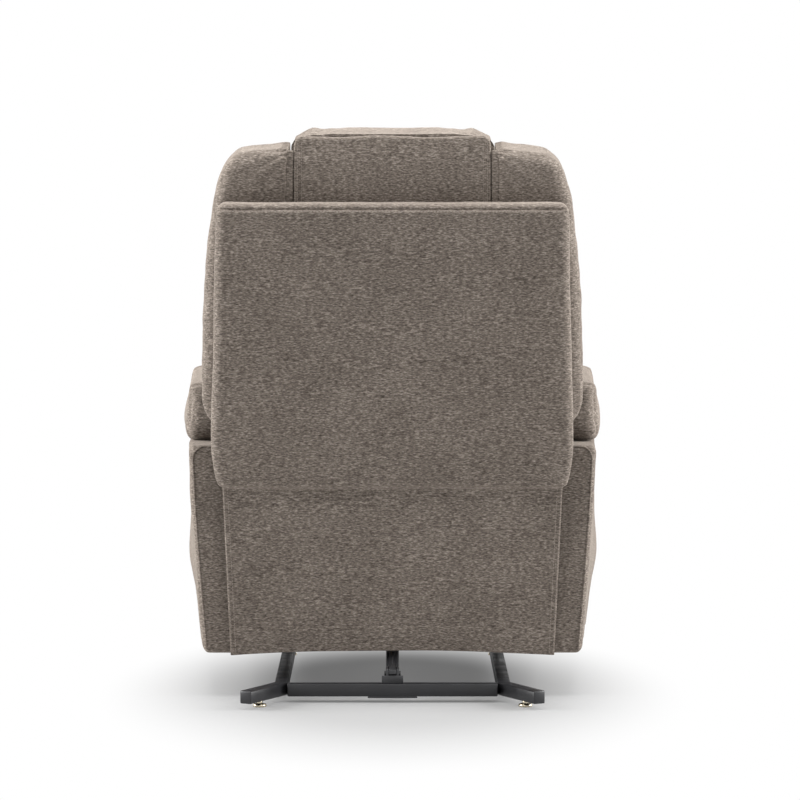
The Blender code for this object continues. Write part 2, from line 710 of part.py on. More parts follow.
def add_crank(carrier, root, tip, x, owner):
    """Welds two cheeks and their pin to the carrier, from its point root out to tip."""
    weld_ears(carrier, tip, x, link_outline(root, tip, EYE_RADIUS), owner)


# ---------------------------------------------------------------- actuators
def slotted_eye(name, tip, along, slot, owner):
    """The far end of an actuator: a flat eye whose slot leaves the crank pin room."""
    x = tip.x
    half_wide, half_tall = slot
    flat = Vector((tip.y, tip.z))
    across = Vector((-along.y, along.x))
    low, high = x - EYE_THICKNESS / 2, x + EYE_THICKNESS / 2
    round_half = half_tall / 2
    outer = link_outline(flat - across * round_half, flat + across * round_half, round_half + EYE_WALL)
    inner = link_outline(flat - across * (half_tall - half_wide), flat + across * (half_tall - half_wide),
                         half_wide)
    eye = flat_plate(f"{name}_eye", outer, low, high, None, owner)
    hole = flat_plate(f"{name}_slot", inner, low - CUT_REACH, high + CUT_REACH, None, owner)
    weld(eye, flat_plate(f"{name}_neck", neck_outline(flat, along, across), low, high, None, owner))
    return eye, hole


def neck_outline(tip, along, across):
    """The flat neck between a slotted eye and what it is welded to."""
    near, far, half = -NECK_START, -NECK_LENGTH - NECK_SINK, NECK_HALF
    corners = ((near, -half), (near, half), (far, half), (far, -half))
    return [tip + along * a + across * b for a, b in corners]


def actuator(name, x, pivot, tip, owners, radii, split, slot, motor_first, barrel_side, drive):
    """A screw actuator from its pivot to the crank pin: one half turns on the pivot and the
    other slides along it. split is how far from the pivot the motor half's tube ends."""
    first_owner, second_owner = owners
    tube_radius, rod_radius = radii
    start, end = side_view(x, pivot), side_view(x, tip)
    along = (end - start).normalized()
    flat = Vector((along.y, along.z))
    length = (end - start).length

    def at(distance):
        return start + along * distance

    housing_owner = first_owner if motor_first else second_owner
    rod_owner = second_owner if motor_first else first_owner
    eye, hole = slotted_eye(name, end, flat, slot, second_owner)
    near_eye = flat_plate(f"{name}_near_eye", link_outline(pivot, pivot + flat * EYE_REACH, EYE_RADIUS),
                          x - EYE_THICKNESS / 2, x + EYE_THICKNESS / 2, None, first_owner)
    if motor_first:
        block = (GEARBOX_START, GEARBOX_START + GEARBOX)
        tube, bar = (GEARBOX, split), (split - drive, length - NECK_LENGTH)
        barrel = (block[0] + BARREL_INSET, block[0] + BARREL_INSET + BARREL_LENGTH)
        housing_eye, rod_eye = near_eye, eye
    else:
        far = length - NECK_LENGTH
        block, tube, bar = (far - GEARBOX, far), (split, far - EYE_REACH), (ROD_START, split + drive)
        barrel = (block[1] - BARREL_INSET - BARREL_LENGTH, block[1] - BARREL_INSET)
        housing_eye, rod_eye = eye, near_eye
    # The tube comes first, so that each later weld meets a solid of its own.
    housing = rod(f"{name}_actuator_housing", at(tube[0]), at(tube[1]), tube_radius, ABS, housing_owner)
    middle = (block[0] + block[1]) / 2
    box_half = tube_radius + GEARBOX_WALL
    gearbox = cube_bmesh((-box_half, -GEARBOX / 2, -box_half), (box_half, GEARBOX / 2, box_half))
    turn = Matrix.Rotation(math.atan2(flat.y, flat.x), 4, "X")
    bmesh.ops.transform(gearbox, matrix=Matrix.Translation(at(middle)) @ turn, verts=gearbox.verts)
    weld(housing, place_mesh(f"{name}_gearbox", gearbox, None, housing_owner))
    beside = Vector((barrel_side * BARREL_OFFSET, 0, 0))
    weld(housing, rod(f"{name}_barrel", at(barrel[0]) + beside, at(barrel[1]) + beside, BARREL_RADIUS, None,
                      housing_owner))
    arm_low, arm_high = sorted((x, x + barrel_side * BARREL_OFFSET))
    saddle_half = GEARBOX * SADDLE_SHARE
    saddle = cube_bmesh((arm_low, -saddle_half, -SADDLE_HALF), (arm_high, saddle_half, SADDLE_HALF))
    centre = at(middle)
    place = Matrix.Translation((0, centre.y, centre.z)) @ turn
    bmesh.ops.transform(saddle, matrix=place, verts=saddle.verts)
    weld(housing, place_mesh(f"{name}_saddle", saddle, None, housing_owner))
    weld(housing, housing_eye)
    if motor_first:
        bore(housing, at(bar[0] - DRAW_IN), at(split + EYE_REACH), rod_radius + GAP, housing_owner)
    else:
        bore(housing, at(split - EYE_REACH), at(bar[1] + BARREL_INSET), rod_radius + GAP, housing_owner)
    slider = rod(f"{name}_actuator_rod", at(bar[0]), at(bar[1]), rod_radius, ZINC, rod_owner)
    weld(slider, rod_eye)
    boolean(housing if rod_eye is near_eye else slider, hole, "DIFFERENCE")
    target = slider if rod_eye is near_eye else housing
    cross_bore(target, pivot, x - EYE_THICKNESS / 2, x + EYE_THICKNESS / 2, MOTOR_PIN + GAP, first_owner)


# ---------------------------------------------------------------- chair body
def side_panel_form(side):
    def form(point, share):
        forward = min(1.0, (SIDE_REAR_Y - point.y) / (SIDE_REAR_Y - SIDE_FRONT_Y) / SIDE_FULL_SHARE)
        down = (SIDE_TOP_Z - point.z) / (SIDE_TOP_Z - SIDE_BOTTOM_Z)
        foot = max(0.0, down - SIDE_TAPER_SHARE) / (1.0 - SIDE_TAPER_SHARE)
        rear = SIDE_REAR_X - SIDE_REAR_TAPER * down ** SIDE_REAR_CURVE
        outer = rear + (SIDE_FRONT_X - SIDE_TAPER * foot ** 2 - rear) * forward
        across = (abs(point.x) - INNER_X) / (SIDE_FRONT_X - INNER_X)
        return Vector((side * (INNER_X + across * (outer - INNER_X)), point.y, point.z))
    return form


def arm_pad_form(side):
    def form(point, share):
        up = (point.z - SIDE_TOP_Z) / (ARM_TOP_Z - SIDE_TOP_Z)
        across = (abs(point.x) - ARM_INNER_X) / (ARM_OUTER_X - ARM_INNER_X)
        rear = (1 + share.y) / 2
        x = abs(point.x) - across * rear * (ARM_TOP_DRAW * up + ARM_REAR_DRAW * rear)
        z = point.z - ARM_OUTER_DROP * up * (1 - dome(share.x, 0)) * max(0.0, side * share.x)
        ahead = max(0.0, -share.y - ARM_FRONT_SHARE) / (1.0 - ARM_FRONT_SHARE)
        z -= ARM_FRONT_DROP * up * ahead ** 2
        return Vector((side * x, point.y, z))
    return form


def skirt_form(point, share):
    up = (point.z - SKIRT_HEM_Z) / (SKIRT_TOP_Z - SKIRT_HEM_Z)
    return Vector((point.x, point.y + up * (SKIRT_TOP_Y - SKIRT_HEM_Y), point.z))


def seat_form(point, share):
    above, below = max(0.0, share.z), max(0.0, -share.z)
    crown = SEAT_CROWN * dome(share.x, share.y)
    front = max(0.0, (SEAT_CHANNEL_Y - point.y) / (SEAT_CHANNEL_Y - SEAT_FRONT_Y))
    ahead = (FRONT_RAIL_Y[0] - GAP - point.y) / SEAT_ROLL_SLOPE
    drop = (DECK_Z - SEAT_ROLL_Z) * min(1.0, max(0.0, ahead))
    channel = SEAT_CHANNEL_DEPTH * groove(point.y - SEAT_CHANNEL_Y, SEAT_CHANNEL_HALF)
    pull = SEAT_DRAW * (1 - share.y ** 2) * on_edge(share.x)
    x = point.x - math.copysign(pull, point.x)
    rise = above * (crown - channel - SEAT_FRONT_DROP * front ** 2)
    return Vector((x, point.y, point.z + rise - below * drop))


def make_chair_body():
    inner = INNER_X - GAP
    deck = DECK_Z - GAP
    for label, side in SIDES:
        low_x, high_x = on_side(side, INNER_X, SIDE_FRONT_X)
        panel = soft_box(f"side_panel_{label}", (low_x, SIDE_FRONT_Y, SIDE_BOTTOM_Z),
                         (high_x, SIDE_REAR_Y, SIDE_TOP_Z - GAP), (1, 4, 3), SIDE_EDGE, chair,
                         side_panel_form(side))
        if side < 0:
            control_pocket(panel)
        low_x, high_x = on_side(side, ARM_INNER_X, ARM_OUTER_X)
        soft_box(f"arm_pad_{label}", (low_x, ARM_FRONT_Y, SIDE_TOP_Z), (high_x, ARM_REAR_Y, ARM_TOP_Z),
                 (2, 6, 1), ARM_EDGE, chair, arm_pad_form(side))
        lift_plate(label, side)
    box("front_rail", (-inner, FRONT_RAIL_Y[0], deck - FRONT_RAIL_HEIGHT), (inner, FRONT_RAIL_Y[1], deck),
        PLYWOOD, chair)
    box("rear_rail", (-inner, REAR_RAIL_Y[0], deck - REAR_RAIL_HEIGHT), (inner, REAR_RAIL_Y[1], deck),
        PLYWOOD, chair)
    box("skirt_rail", (-inner, SKIRT_RAIL_Y[0], SKIRT_RAIL_Z[0]), (inner, SKIRT_RAIL_Y[1], SKIRT_RAIL_Z[1]),
        PLYWOOD, chair)
    for number, x in enumerate(SPRING_X, 1):
        seat_spring(f"seat_spring_{number}", x)
    seat_half = ARM_INNER_X - 2 * GAP
    rail_face = FRONT_RAIL_Y[0] - GAP
    cuts = [SEAT_CHANNEL_Y, SEAT_CHANNEL_Y + SEAT_CHANNEL_HALF, SEAT_CHANNEL_Y - SEAT_CHANNEL_HALF,
            rail_face, rail_face - SEAT_ROLL_SLOPE]
    soft_box("seat_cushion", (-seat_half, SEAT_FRONT_Y, DECK_Z), (seat_half, SEAT_REAR_Y, SEAT_TOP_Z),
             (5, 8, 0), SEAT_EDGE, chair, seat_form, extra=[(1, place) for place in cuts])
    soft_box("back_skirt", (-SKIRT_HALF, SKIRT_HEM_Y, SKIRT_HEM_Z),
             (SKIRT_HALF, SKIRT_HEM_Y + SKIRT_THICKNESS, SKIRT_TOP_Z), (2, 0, 2), SKIRT_EDGE, chair,
             skirt_form)
    tube = rod("actuator_cross_tube", side_view(-inner, CROSS_TUBE), side_view(inner, CROSS_TUBE),
               CROSS_TUBE_RADIUS, BLACK_STEEL, chair)
    add_crank(tube, CROSS_TUBE, RECLINE_MOTOR_PIVOT, RECLINE_X, chair)
    make_footrest_clevis(deck - REAR_RAIL_HEIGHT - GAP)
    make_control_box()


def make_footrest_clevis(under):
    """The steel clevis under the rear rail that holds the footrest's actuator."""
    pivot = FOOT_MOTOR_PIVOT
    root = under - WELD_SINK
    ears = [(pivot.x - EYE_RADIUS, root), polar(pivot, EYE_RADIUS, 180),
            polar(pivot, EYE_RADIUS, 270 - CORNER_TURN), polar(pivot, EYE_RADIUS, 270),
            polar(pivot, EYE_RADIUS, 270 + CORNER_TURN), polar(pivot, EYE_RADIUS, 0),
            (pivot.x + EYE_RADIUS, root)]
    half = EYE_THICKNESS / 2 + CLEVIS_CLEARANCE + CLEVIS_WALL
    clevis = box("footrest_motor_clevis", (FOOT_X - half, REAR_RAIL_Y[0], under - 2 * WELD_SINK),
                 (FOOT_X + half, REAR_RAIL_Y[1], under), BLACK_STEEL, chair)
    weld_ears(clevis, pivot, FOOT_X, ears, chair)


def lift_plate(label, side):
    """The steel plate on a side panel that the lift arm and the front link carry."""
    low, high = lift_plate_x()
    front, rear = FRONT_TOP.x, LIFT_TOP.x
    foot = FRONT_TOP.y - PLATE_UNDER
    outline = [(front - PLATE_AHEAD, PLATE_TOP_Z), (front - PLATE_AHEAD, FRONT_TOP.y),
               (front - PLATE_BOSS, foot), (front + PLATE_CORNER, foot),
               (rear + PLATE_CORNER, LIFT_TOP.y - PLATE_UNDER),
               (rear + PLATE_AHEAD, LIFT_TOP.y - PLATE_UNDER + PLATE_CORNER),
               (rear + PLATE_AHEAD, PLATE_TOP_Z)]
    low_x, high_x = on_side(side, low, high)
    plate = flat_plate(f"lift_plate_{label}", outline, low_x, high_x, BLACK_STEEL, chair)
    for y in (front, rear):
        weld(plate, rod(f"lift_plate_boss_{label}", (side * (high - WELD_SINK), y, PLATE_BOSS_Z),
                        (side * (INNER_X - GAP), y, PLATE_BOSS_Z), PLATE_BOSS, None, chair))
    pin_end = side * (front_link_x()[0] - WELD_SINK / 2)
    weld(plate, rod(f"lift_plate_pin_{label}", side_view(side * (low + WELD_SINK), FRONT_TOP),
                    side_view(pin_end, FRONT_TOP), PIN_RADIUS, None, chair))
    cross_bore(plate, LIFT_TOP, low_x, high_x, PIN_RADIUS + GAP)


def seat_spring(name, x):
    """A sinuous spring: one wire that swings from side to side between the two rails."""
    bend = SPRING_WIRE * SPRING_END_SHARE
    start, end = FRONT_RAIL_Y[1] + GAP + bend, REAR_RAIL_Y[0] - GAP - bend
    z = DECK_Z - 3 * GAP - SPRING_WIRE
    count = SPRING_WAVES * SPRING_STEPS
    curve = bpy.data.curves.new(name, "CURVE")
    curve.dimensions = "3D"
    curve.bevel_depth = SPRING_WIRE
    curve.bevel_resolution = 0
    curve.use_fill_caps = True
    spline = curve.splines.new("POLY")
    spline.points.add(count)
    for number, point in enumerate(spline.points):
        share = number / count
        swing = SPRING_SWING * math.sin(2 * math.pi * SPRING_WAVES * share)
        point.co = (x + swing, start + (end - start) * share, z, 1.0)
    curve.materials.append(ZINC)
    obj = bpy.data.objects.new(name, curve)
    parts.objects.link(obj)
    obj.parent = chair
    obj.matrix_parent_inverse = chair.matrix_world.inverted()


def control_pocket(panel):
    """The pocket in the right side panel that the control panel sits in."""
    floor = SIDE_FRONT_X - PANEL_DEPTH
    pocket = cube_bmesh((-SIDE_FRONT_X - CUT_REACH, PANEL_Y[0] - GAP, PANEL_Z[0] - GAP),
                        (-floor + GAP, PANEL_Y[1] + GAP, PANEL_Z[1] + GAP))
    boolean(panel, place_mesh("control_pocket", pocket, None, chair), "DIFFERENCE")


def make_control_panel():
    face = -SIDE_FRONT_X - PANEL_PROUD
    back_face = -SIDE_FRONT_X + PANEL_DEPTH
    plate = box("control_panel", (face, PANEL_Y[0], PANEL_Z[0]), (back_face, PANEL_Y[1], PANEL_Z[1]), ABS,
                chair, PANEL_EDGE)
    spacing = (PANEL_Y[1] - PANEL_Y[0]) / len(BUTTONS)
    middle_z = (PANEL_Z[0] + PANEL_Z[1]) / 2
    floor = back_face - BUTTON_TRAVEL - BUTTON_FLOOR
    for number, name in enumerate(BUTTONS):
        y = PANEL_Y[0] + spacing * (number + 0.5)
        owner = body(name.replace("button", "key"), (face, y, middle_z), chair)
        cross_bore(plate, (y, middle_z), face, back_face, BUTTON_RADIUS + GAP, chair)
        button = rod(name, (face - BUTTON_PROUD, y, middle_z), (floor, y, middle_z), BUTTON_RADIUS,
                     BUTTON_GREY, owner)
        modifier = button.modifiers.new("rounded rim", "BEVEL")
        modifier.width = BUTTON_EDGE
        modifier.segments = 2
        modifier.limit_method = "ANGLE"


def make_control_box():
    """The control box behind the rear rail, with the socket for its supply in its underside."""
    width, depth, height = CONTROL_BOX
    wall = REAR_RAIL_Y[1] + GAP
    top = DECK_Z - CONTROL_BOX_DROP
    low = (CONTROL_BOX_X - width, wall, top - height)
    obj = box("control_box", low, (CONTROL_BOX_X, wall + depth, top), ABS, chair, CONTROL_BOX_EDGE)
    middle = Vector((low[0] + INLET_INSET, wall + depth / 2, low[2]))
    below = Vector((0, 0, INLET.z / 2))
    inlet = cube_bmesh(middle - INLET / 2 - below, middle + INLET / 2 + below)
    boolean(obj, place_mesh("inlet_socket", inlet, None, chair), "DIFFERENCE")


# ---------------------------------------------------------------- backrest
def back_form(point, share):
    """The outside back: a flat padded box, widest low down, drawn in and thinned at its foot."""
    wide = steps_between(point.z, ((BACK_LOW_H, BACK_WIDE_HALF - BACK_FOOT_DRAW),
                                   (BACK_KINK_H, BACK_WIDE_HALF - BACK_KINK_DRAW),
                                   (BACK_WIDE_H, BACK_WIDE_HALF), (BACK_TOP_H, BACK_TOP_HALF)))
    crown = BACK_CROWN * dome(share.x, share.z) * max(0.0, share.y)
    foot = max(0.0, BACK_LOW_H + BACK_FOOT_HEIGHT - point.z) / BACK_FOOT_HEIGHT
    through = (point.y - BACK_FRONT_D) / (BACK_REAR_D - BACK_FRONT_D)
    return Vector((point.x * wide / BACK_WIDE_HALF, point.y + crown - BACK_FOOT_THIN * foot ** 2 * through,
                   point.z))


def wing_form(side):
    edge = [(h, WING_OUTER - draw) for h, draw in zip(WING_SHOULDER_H, WING_SHOULDER_DRAW)]
    clear_low, clear_high = WING_CLEAR_H

    def form(point, share):
        outer = steps_between(point.z, edge)
        full = steps_between(point.z, ((clear_low, 0.0), (clear_high, 1.0)))
        deep = WING_NOTCH_DEPTH + (WING_DEPTH - WING_NOTCH_DEPTH) * full
        deep -= WING_TIP_DRAW * max(0.0, (point.z - WING_TIP_H) / WING_TIP_SPAN) ** 2
        across = (abs(point.x) - WING_INNER) / (WING_OUTER - WING_INNER)
        x = WING_INNER + across * (outer - WING_INNER)
        rear = BACK_FRONT_D - GAP
        d = rear - (rear - point.y) * deep / WING_DEPTH
        h = point.z - WING_TOP_DROP * across ** 2 * max(0.0, share.z) ** 3
        return Vector((side * x, d, h))
    return form


def pillow_form(crown, pull):
    """A pillow that is crowned in front and drawn in along its long edges."""
    def form(point, share):
        front = crown * dome(share.x, share.z) * max(0.0, -share.y)
        inward = pull * (1 - share.x ** 2) * on_edge(share.z)
        return Vector((point.x, point.y - front, point.z - math.copysign(inward, share.z)))
    return form


def head_form(point, share):
    front = HEAD_CROWN * dome(share.x, share.z) * max(0.0, -share.y)
    slope = HEAD_CORNER_DROP * max(0.0, share.z) * abs(share.x) ** 4
    return Vector((point.x, point.y - front, point.z - slope))


def make_backrest():
    rear = BACK_FRONT_D - GAP
    flap_front = rear - FLAP_THICKNESS
    soft_box("outside_back", (-BACK_WIDE_HALF, BACK_FRONT_D, BACK_LOW_H),
             (BACK_WIDE_HALF, BACK_REAR_D, BACK_TOP_H), (5, 0, 7), BACK_EDGE, back, back_form, local=True)
    for label, side in SIDES:
        low_x, high_x = on_side(side, WING_INNER, WING_OUTER)
        soft_box(f"back_wing_{label}", (low_x, rear - WING_DEPTH, WING_LOW_H), (high_x, rear, WING_TOP_H),
                 (1, 2, 7), WING_EDGE, back, wing_form(side), local=True)
    soft_box("head_pillow", (-HEAD_HALF, HEAD_FRONT_D, HEAD_LOW_H), (HEAD_HALF, flap_front - GAP, HEAD_TOP_H),
             (6, 2, 1), PILLOW_EDGE, back, head_form, local=True)
    soft_box("head_pillow_flap", (-FLAP_HALF, flap_front, FLAP_LOW_H), (FLAP_HALF, rear, FLAP_TOP_H),
             (1, 0, 1), FLAP_EDGE, back, local=True)
    soft_box("middle_pillow", (-PILLOW_HALF, MIDDLE_FRONT_D, MIDDLE_LOW_H),
             (PILLOW_HALF, PILLOW_REAR_D, HEAD_LOW_H - MIDDLE_BELOW_HEAD), (6, 1, 3), PILLOW_EDGE, back,
             pillow_form(MIDDLE_CROWN, PILLOW_DRAW), local=True)
    soft_box("lumbar_pillow", (-PILLOW_HALF, LUMBAR_FRONT_D, LUMBAR_LOW_H),
             (PILLOW_HALF, PILLOW_REAR_D, MIDDLE_LOW_H - GAP), (6, 1, 3), PILLOW_EDGE, back,
             pillow_form(LUMBAR_CROWN, PILLOW_DRAW), local=True)
    make_back_frame()


def make_back_frame():
    """Two uprights and two rails of steel tube, with the hinge lugs and the recline crank."""
    d = BACK_FRONT_D - GAP - FRAME_TUBE
    foot = FRAME_LOW_H - FRAME_END
    top = FLAP_LOW_H - FRAME_BELOW_FLAP
    reach = FRAME_X + FRAME_RAIL_REACH
    frame = rod("back_frame", (-FRAME_X, d, foot), (-FRAME_X, d, top), FRAME_TUBE, BLACK_STEEL, back, True)
    weld(frame, rod("back_upright", (FRAME_X, d, foot), (FRAME_X, d, top), FRAME_TUBE, None, back, True))
    for name, h in (("back_low_rail", FRAME_LOW_H), ("back_top_rail", top - FRAME_END)):
        weld(frame, rod(name, (-reach, d, h), (reach, d, h), FRAME_RAIL, None, back, True))
    lug_root = leaning(BACK_FRONT_D - 2 * GAP - BACK_LUG_END, FRAME_LOW_H)
    lug_outline = link_outline(lug_root, HINGE, BACK_LUG_END)
    lug_inner, lug_outer = FRAME_X - LUG_THICKNESS / 2, FRAME_X + LUG_THICKNESS / 2
    pin_end = lug_outer + HINGE_SPACE + LUG_THICKNESS + PIN_PROUD
    for label, side in SIDES:
        low_x, high_x = on_side(side, lug_inner, lug_outer)
        weld(frame, flat_plate(f"back_lug_{label}", lug_outline, low_x, high_x, None, back))
        weld(frame, rod(f"back_hinge_pin_{label}", side_view(side * (lug_inner - PIN_PROUD), HINGE),
                        side_view(side * pin_end, HINGE), PIN_RADIUS, None, back))
    crank_root = leaning(BACK_FRONT_D - 2 * GAP - EYE_RADIUS, FRAME_LOW_H)
    add_crank(frame, crank_root, recline_crank_pin(), RECLINE_X, back)


def leaning(d, h):
    """The side-view point of a place in the backrest's leaning frame."""
    lean = math.radians(LEAN)
    return HINGE + Vector((d * math.cos(lean) + h * math.sin(lean), h * math.cos(lean) - d * math.sin(lean)))


def make_hinge_brackets():
    """The steel ears on the side panels that hold the backrest's hinge pins."""
    low = FRAME_X + LUG_THICKNESS / 2 + HINGE_SPACE
    post = HINGE + Vector((0.0, -HINGE_DROP))
    for label, side in SIDES:
        low_x, high_x = on_side(side, low, low + LUG_THICKNESS)
        ear = flat_plate(f"back_hinge_{label}", link_outline(post, HINGE, HINGE_EAR), low_x, high_x,
                         BLACK_STEEL, chair)
        weld(ear, rod(f"back_hinge_post_{label}", side_view(side * (low + WELD_SINK), post),
                      side_view(side * (INNER_X - GAP), post), HINGE_POST, None, chair))
        cross_bore(ear, HINGE, low_x, high_x, PIN_RADIUS + GAP)


# ---------------------------------------------------------------- footrest
def foot_bar(side, x):
    """The X range of a flat bar of the footrest's linkage."""
    return on_side(side, x - FOOT_BAR / 2, x + FOOT_BAR / 2)


def foot_pin(bar, side, x, pin_to, point, owner):
    """Welds a pin to the bar at x, which reaches through the next bar at pin_to."""
    end = pin_to - FOOT_PIN_REACH
    weld(bar, rod(f"{bar.name}_pin", side_view(side * x, point), side_view(side * end, point), FOOT_PIN, None,
                  owner))


def make_footrest():
    tube_end = INNER_X - GAP
    tube = rod("footrest_torque_tube", side_view(-tube_end, FOOT_PIVOT), side_view(tube_end, FOOT_PIVOT),
               FOOT_TUBE, BLACK_STEEL, foot_arm)
    add_crank(tube, FOOT_PIVOT, foot_crank_pin(), FOOT_X, foot_arm)
    for label, side in SIDES:
        low_x, high_x = foot_bar(side, FOOT_ARM_X)
        bar = flat_plate(f"footrest_arm_{label}", link_outline(FOOT_PIVOT, foot_elbow, FOOT_ARM_END), low_x,
                         high_x, ZINC, foot_arm)
        foot_pin(bar, side, FOOT_ARM_X, FOOT_LINK_X, foot_elbow, foot_arm)
        cross_bore(bar, FOOT_PIVOT, low_x, high_x, FOOT_TUBE + GAP)
        low_x, high_x = foot_bar(side, FOOT_LINK_X)
        bar = flat_plate(f"footrest_link_{label}", link_outline(foot_elbow, foot_tip, FOOT_END), low_x,
                         high_x, ZINC, foot_link)
        foot_pin(bar, side, FOOT_LINK_X, FOOT_LUG_X, foot_tip, foot_link)
        cross_bore(bar, foot_elbow, low_x, high_x, FOOT_PIN + GAP, foot_link)
    board_back = foot_tip.x - FOOT_BOARD_AHEAD
    board_front = board_back - FOOT_BOARD_THICKNESS
    top = foot_tip.y - FOOT_BOARD_BELOW
    board = box("footrest_board", (-FOOT_HALF, board_front + GAP, FOOT_LOW_Z), (FOOT_HALF, board_back, top),
                PLYWOOD, footrest)
    lug_root = board_back - WELD_SINK
    foot = foot_tip.y - FOOT_LUG_DROP
    outline = [(lug_root, foot), (board_back + FOOT_LUG_LEAN, foot),
               (foot_tip.x + FOOT_END, foot_tip.y - FOOT_LUG_LEAN),
               polar(foot_tip, FOOT_END, 45), polar(foot_tip, FOOT_END, 90),
               (foot_tip.x - FOOT_END, foot_tip.y + FOOT_LUG_RISE), (lug_root, top - WELD_SINK)]
    for label, side in SIDES:
        low_x, high_x = foot_bar(side, FOOT_LUG_X)
        weld(board, flat_plate(f"footrest_lug_{label}", outline, low_x, high_x, None, footrest))
        cross_bore(board, foot_tip, low_x, high_x, FOOT_PIN + GAP, footrest)
    soft_box("footrest_pad", (-FOOT_HALF, board_front - FOOT_PAD_THICKNESS, FOOT_LOW_Z),
             (FOOT_HALF, board_front, top), (5, 0, 3), FOOT_PAD_EDGE, footrest,
             pillow_form(0.0, FOOT_PAD_DRAW))


make_floor_frame()
make_lift_linkage()
make_chair_body()
make_control_panel()
make_backrest()
make_hinge_brackets()
make_footrest()
actuator("lift", 0.0, LIFT_MOTOR_PIVOT, lift_crank_pin(), (lift_rod, lift_motor),
         (LIFT_TUBE_RADIUS, LIFT_ROD_RADIUS), LIFT_SPLIT, LIFT_SLOT, False, 1, LIFT_DRIVE)
actuator("recline", RECLINE_X, RECLINE_MOTOR_PIVOT, recline_crank_pin(), (recline_motor, recline_rod),
         (TUBE_RADIUS, ROD_RADIUS), RECLINE_SPLIT, RECLINE_SLOT, True, -1, RECLINE_DRIVE)
actuator("footrest", FOOT_X, FOOT_MOTOR_PIVOT, foot_crank_pin(), (foot_motor, foot_rod),
         (TUBE_RADIUS, ROD_RADIUS), FOOT_SPLIT, FOOT_SLOT, True, 1, FOOT_DRIVE)
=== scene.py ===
import json
import math

import bmesh
import bpy
import numpy as np
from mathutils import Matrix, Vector, noise
from mathutils.bvhtree import BVHTree

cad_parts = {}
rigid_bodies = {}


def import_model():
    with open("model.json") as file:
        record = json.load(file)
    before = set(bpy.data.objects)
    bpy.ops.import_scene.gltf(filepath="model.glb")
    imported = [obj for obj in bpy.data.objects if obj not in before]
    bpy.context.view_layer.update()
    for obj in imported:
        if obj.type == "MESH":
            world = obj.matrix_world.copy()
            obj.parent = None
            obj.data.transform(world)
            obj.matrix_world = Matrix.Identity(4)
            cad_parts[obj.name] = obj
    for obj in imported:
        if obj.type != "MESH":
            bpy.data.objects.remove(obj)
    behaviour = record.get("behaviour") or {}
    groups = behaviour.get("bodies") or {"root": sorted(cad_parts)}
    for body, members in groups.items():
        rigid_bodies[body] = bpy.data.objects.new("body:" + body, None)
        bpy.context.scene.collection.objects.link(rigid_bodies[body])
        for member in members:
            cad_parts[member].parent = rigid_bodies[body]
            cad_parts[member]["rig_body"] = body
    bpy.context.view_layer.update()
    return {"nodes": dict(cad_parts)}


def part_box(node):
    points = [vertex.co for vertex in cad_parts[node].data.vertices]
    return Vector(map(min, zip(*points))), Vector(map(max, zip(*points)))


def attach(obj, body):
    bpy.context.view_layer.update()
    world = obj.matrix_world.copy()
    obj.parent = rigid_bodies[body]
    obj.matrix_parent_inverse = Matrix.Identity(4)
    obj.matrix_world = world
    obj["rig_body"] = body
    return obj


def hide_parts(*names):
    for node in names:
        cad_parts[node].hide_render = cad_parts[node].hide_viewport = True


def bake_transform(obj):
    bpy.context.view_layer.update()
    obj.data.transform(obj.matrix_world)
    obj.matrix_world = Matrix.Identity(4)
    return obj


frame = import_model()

# ---------------- where the photographer stood
# Straight behind the chair, a little above its middle, on a long lens, so that little
# converges. The lens axis passes a hand's breadth below the shoulders of the back.
LENS = 162.0
EYE = (0.0, 7.37, 1.04)
LOOK_DOWN = 3.64
LOOK_RIGHT = 0.120


def put(name, data):
    """Puts an object with this data into the scene."""
    thing = bpy.data.objects.new(name, data)
    bpy.context.scene.collection.objects.link(thing)
    return thing


camera_data = bpy.data.cameras.new("camera")
camera_data.lens = LENS
camera_data.sensor_width = 36.0
camera_data.clip_end = 200.0
camera = put("camera", camera_data)
camera.location = EYE
camera.rotation_euler = (math.radians(90.0 - LOOK_DOWN), 0.0, math.radians(180.0 - LOOK_RIGHT))
bpy.context.scene.camera = camera
bpy.context.scene.view_settings.view_transform = "Standard"


# ---------------- the studio
# A white floor that runs out of sight under a white surround, with one broad softbox overhead
# and one on each side. The floor burns out to white and keeps only the chair's shadow.
def paint(code):
    """A colour code as the linear values that a shader takes."""
    channels = [int(code[i:i + 2], 16) / 255 for i in (1, 3, 5)]
    return [c / 12.92 if c <= 0.04045 else ((c + 0.055) / 1.055) ** 2.4 for c in channels] + [1.0]


def feed(tree, node, feeds):
    """Gives each of a node's inputs, by its name or number, a value or another node's output."""
    for key, value in feeds.items():
        if isinstance(value, bpy.types.NodeSocket):
            tree.links.new(value, node.inputs[key])
        else:
            node.inputs[key].default_value = value


def add(tree, kind, feeds=None, **settings):
    """Adds one node and feeds it. A kind with no word Node in it is a shader node. By number, Mix
    takes its share at 0, values at 2 and 3 and colours at 6 and 7. Map Range takes its value at 0,
    from low and high at 1 and 2, and to low and high at 3 and 4. Mapping takes a move at 1 and a
    scale at 3."""
    node = tree.nodes.new(kind if "Node" in kind else "ShaderNode" + kind)
    for name, value in settings.items():
        setattr(node, name, value)
    feed(tree, node, feeds or {})
    return node


FLOOR_HALF = 60.0
WHITE = (1.0, 1.0, 1.0, 1.0)
FLOOR_MATT = 0.62       # the share of the light that the floor throws back on to the chair
FLOOR_WHITE = 0.275     # the share that the camera sees
FLOOR_HAZE = 0.155      # lifts the darkest of the shadow
SHADOW_CENTRE_Y, SHADOW_ACROSS, SHADOW_DEEP = 0.20, 0.52, 0.90      # an oval round the shadow
FLOOR_NEAR, FLOOR_FAR = 0.45, 1.15      # the shares of the oval between which the floor burns out

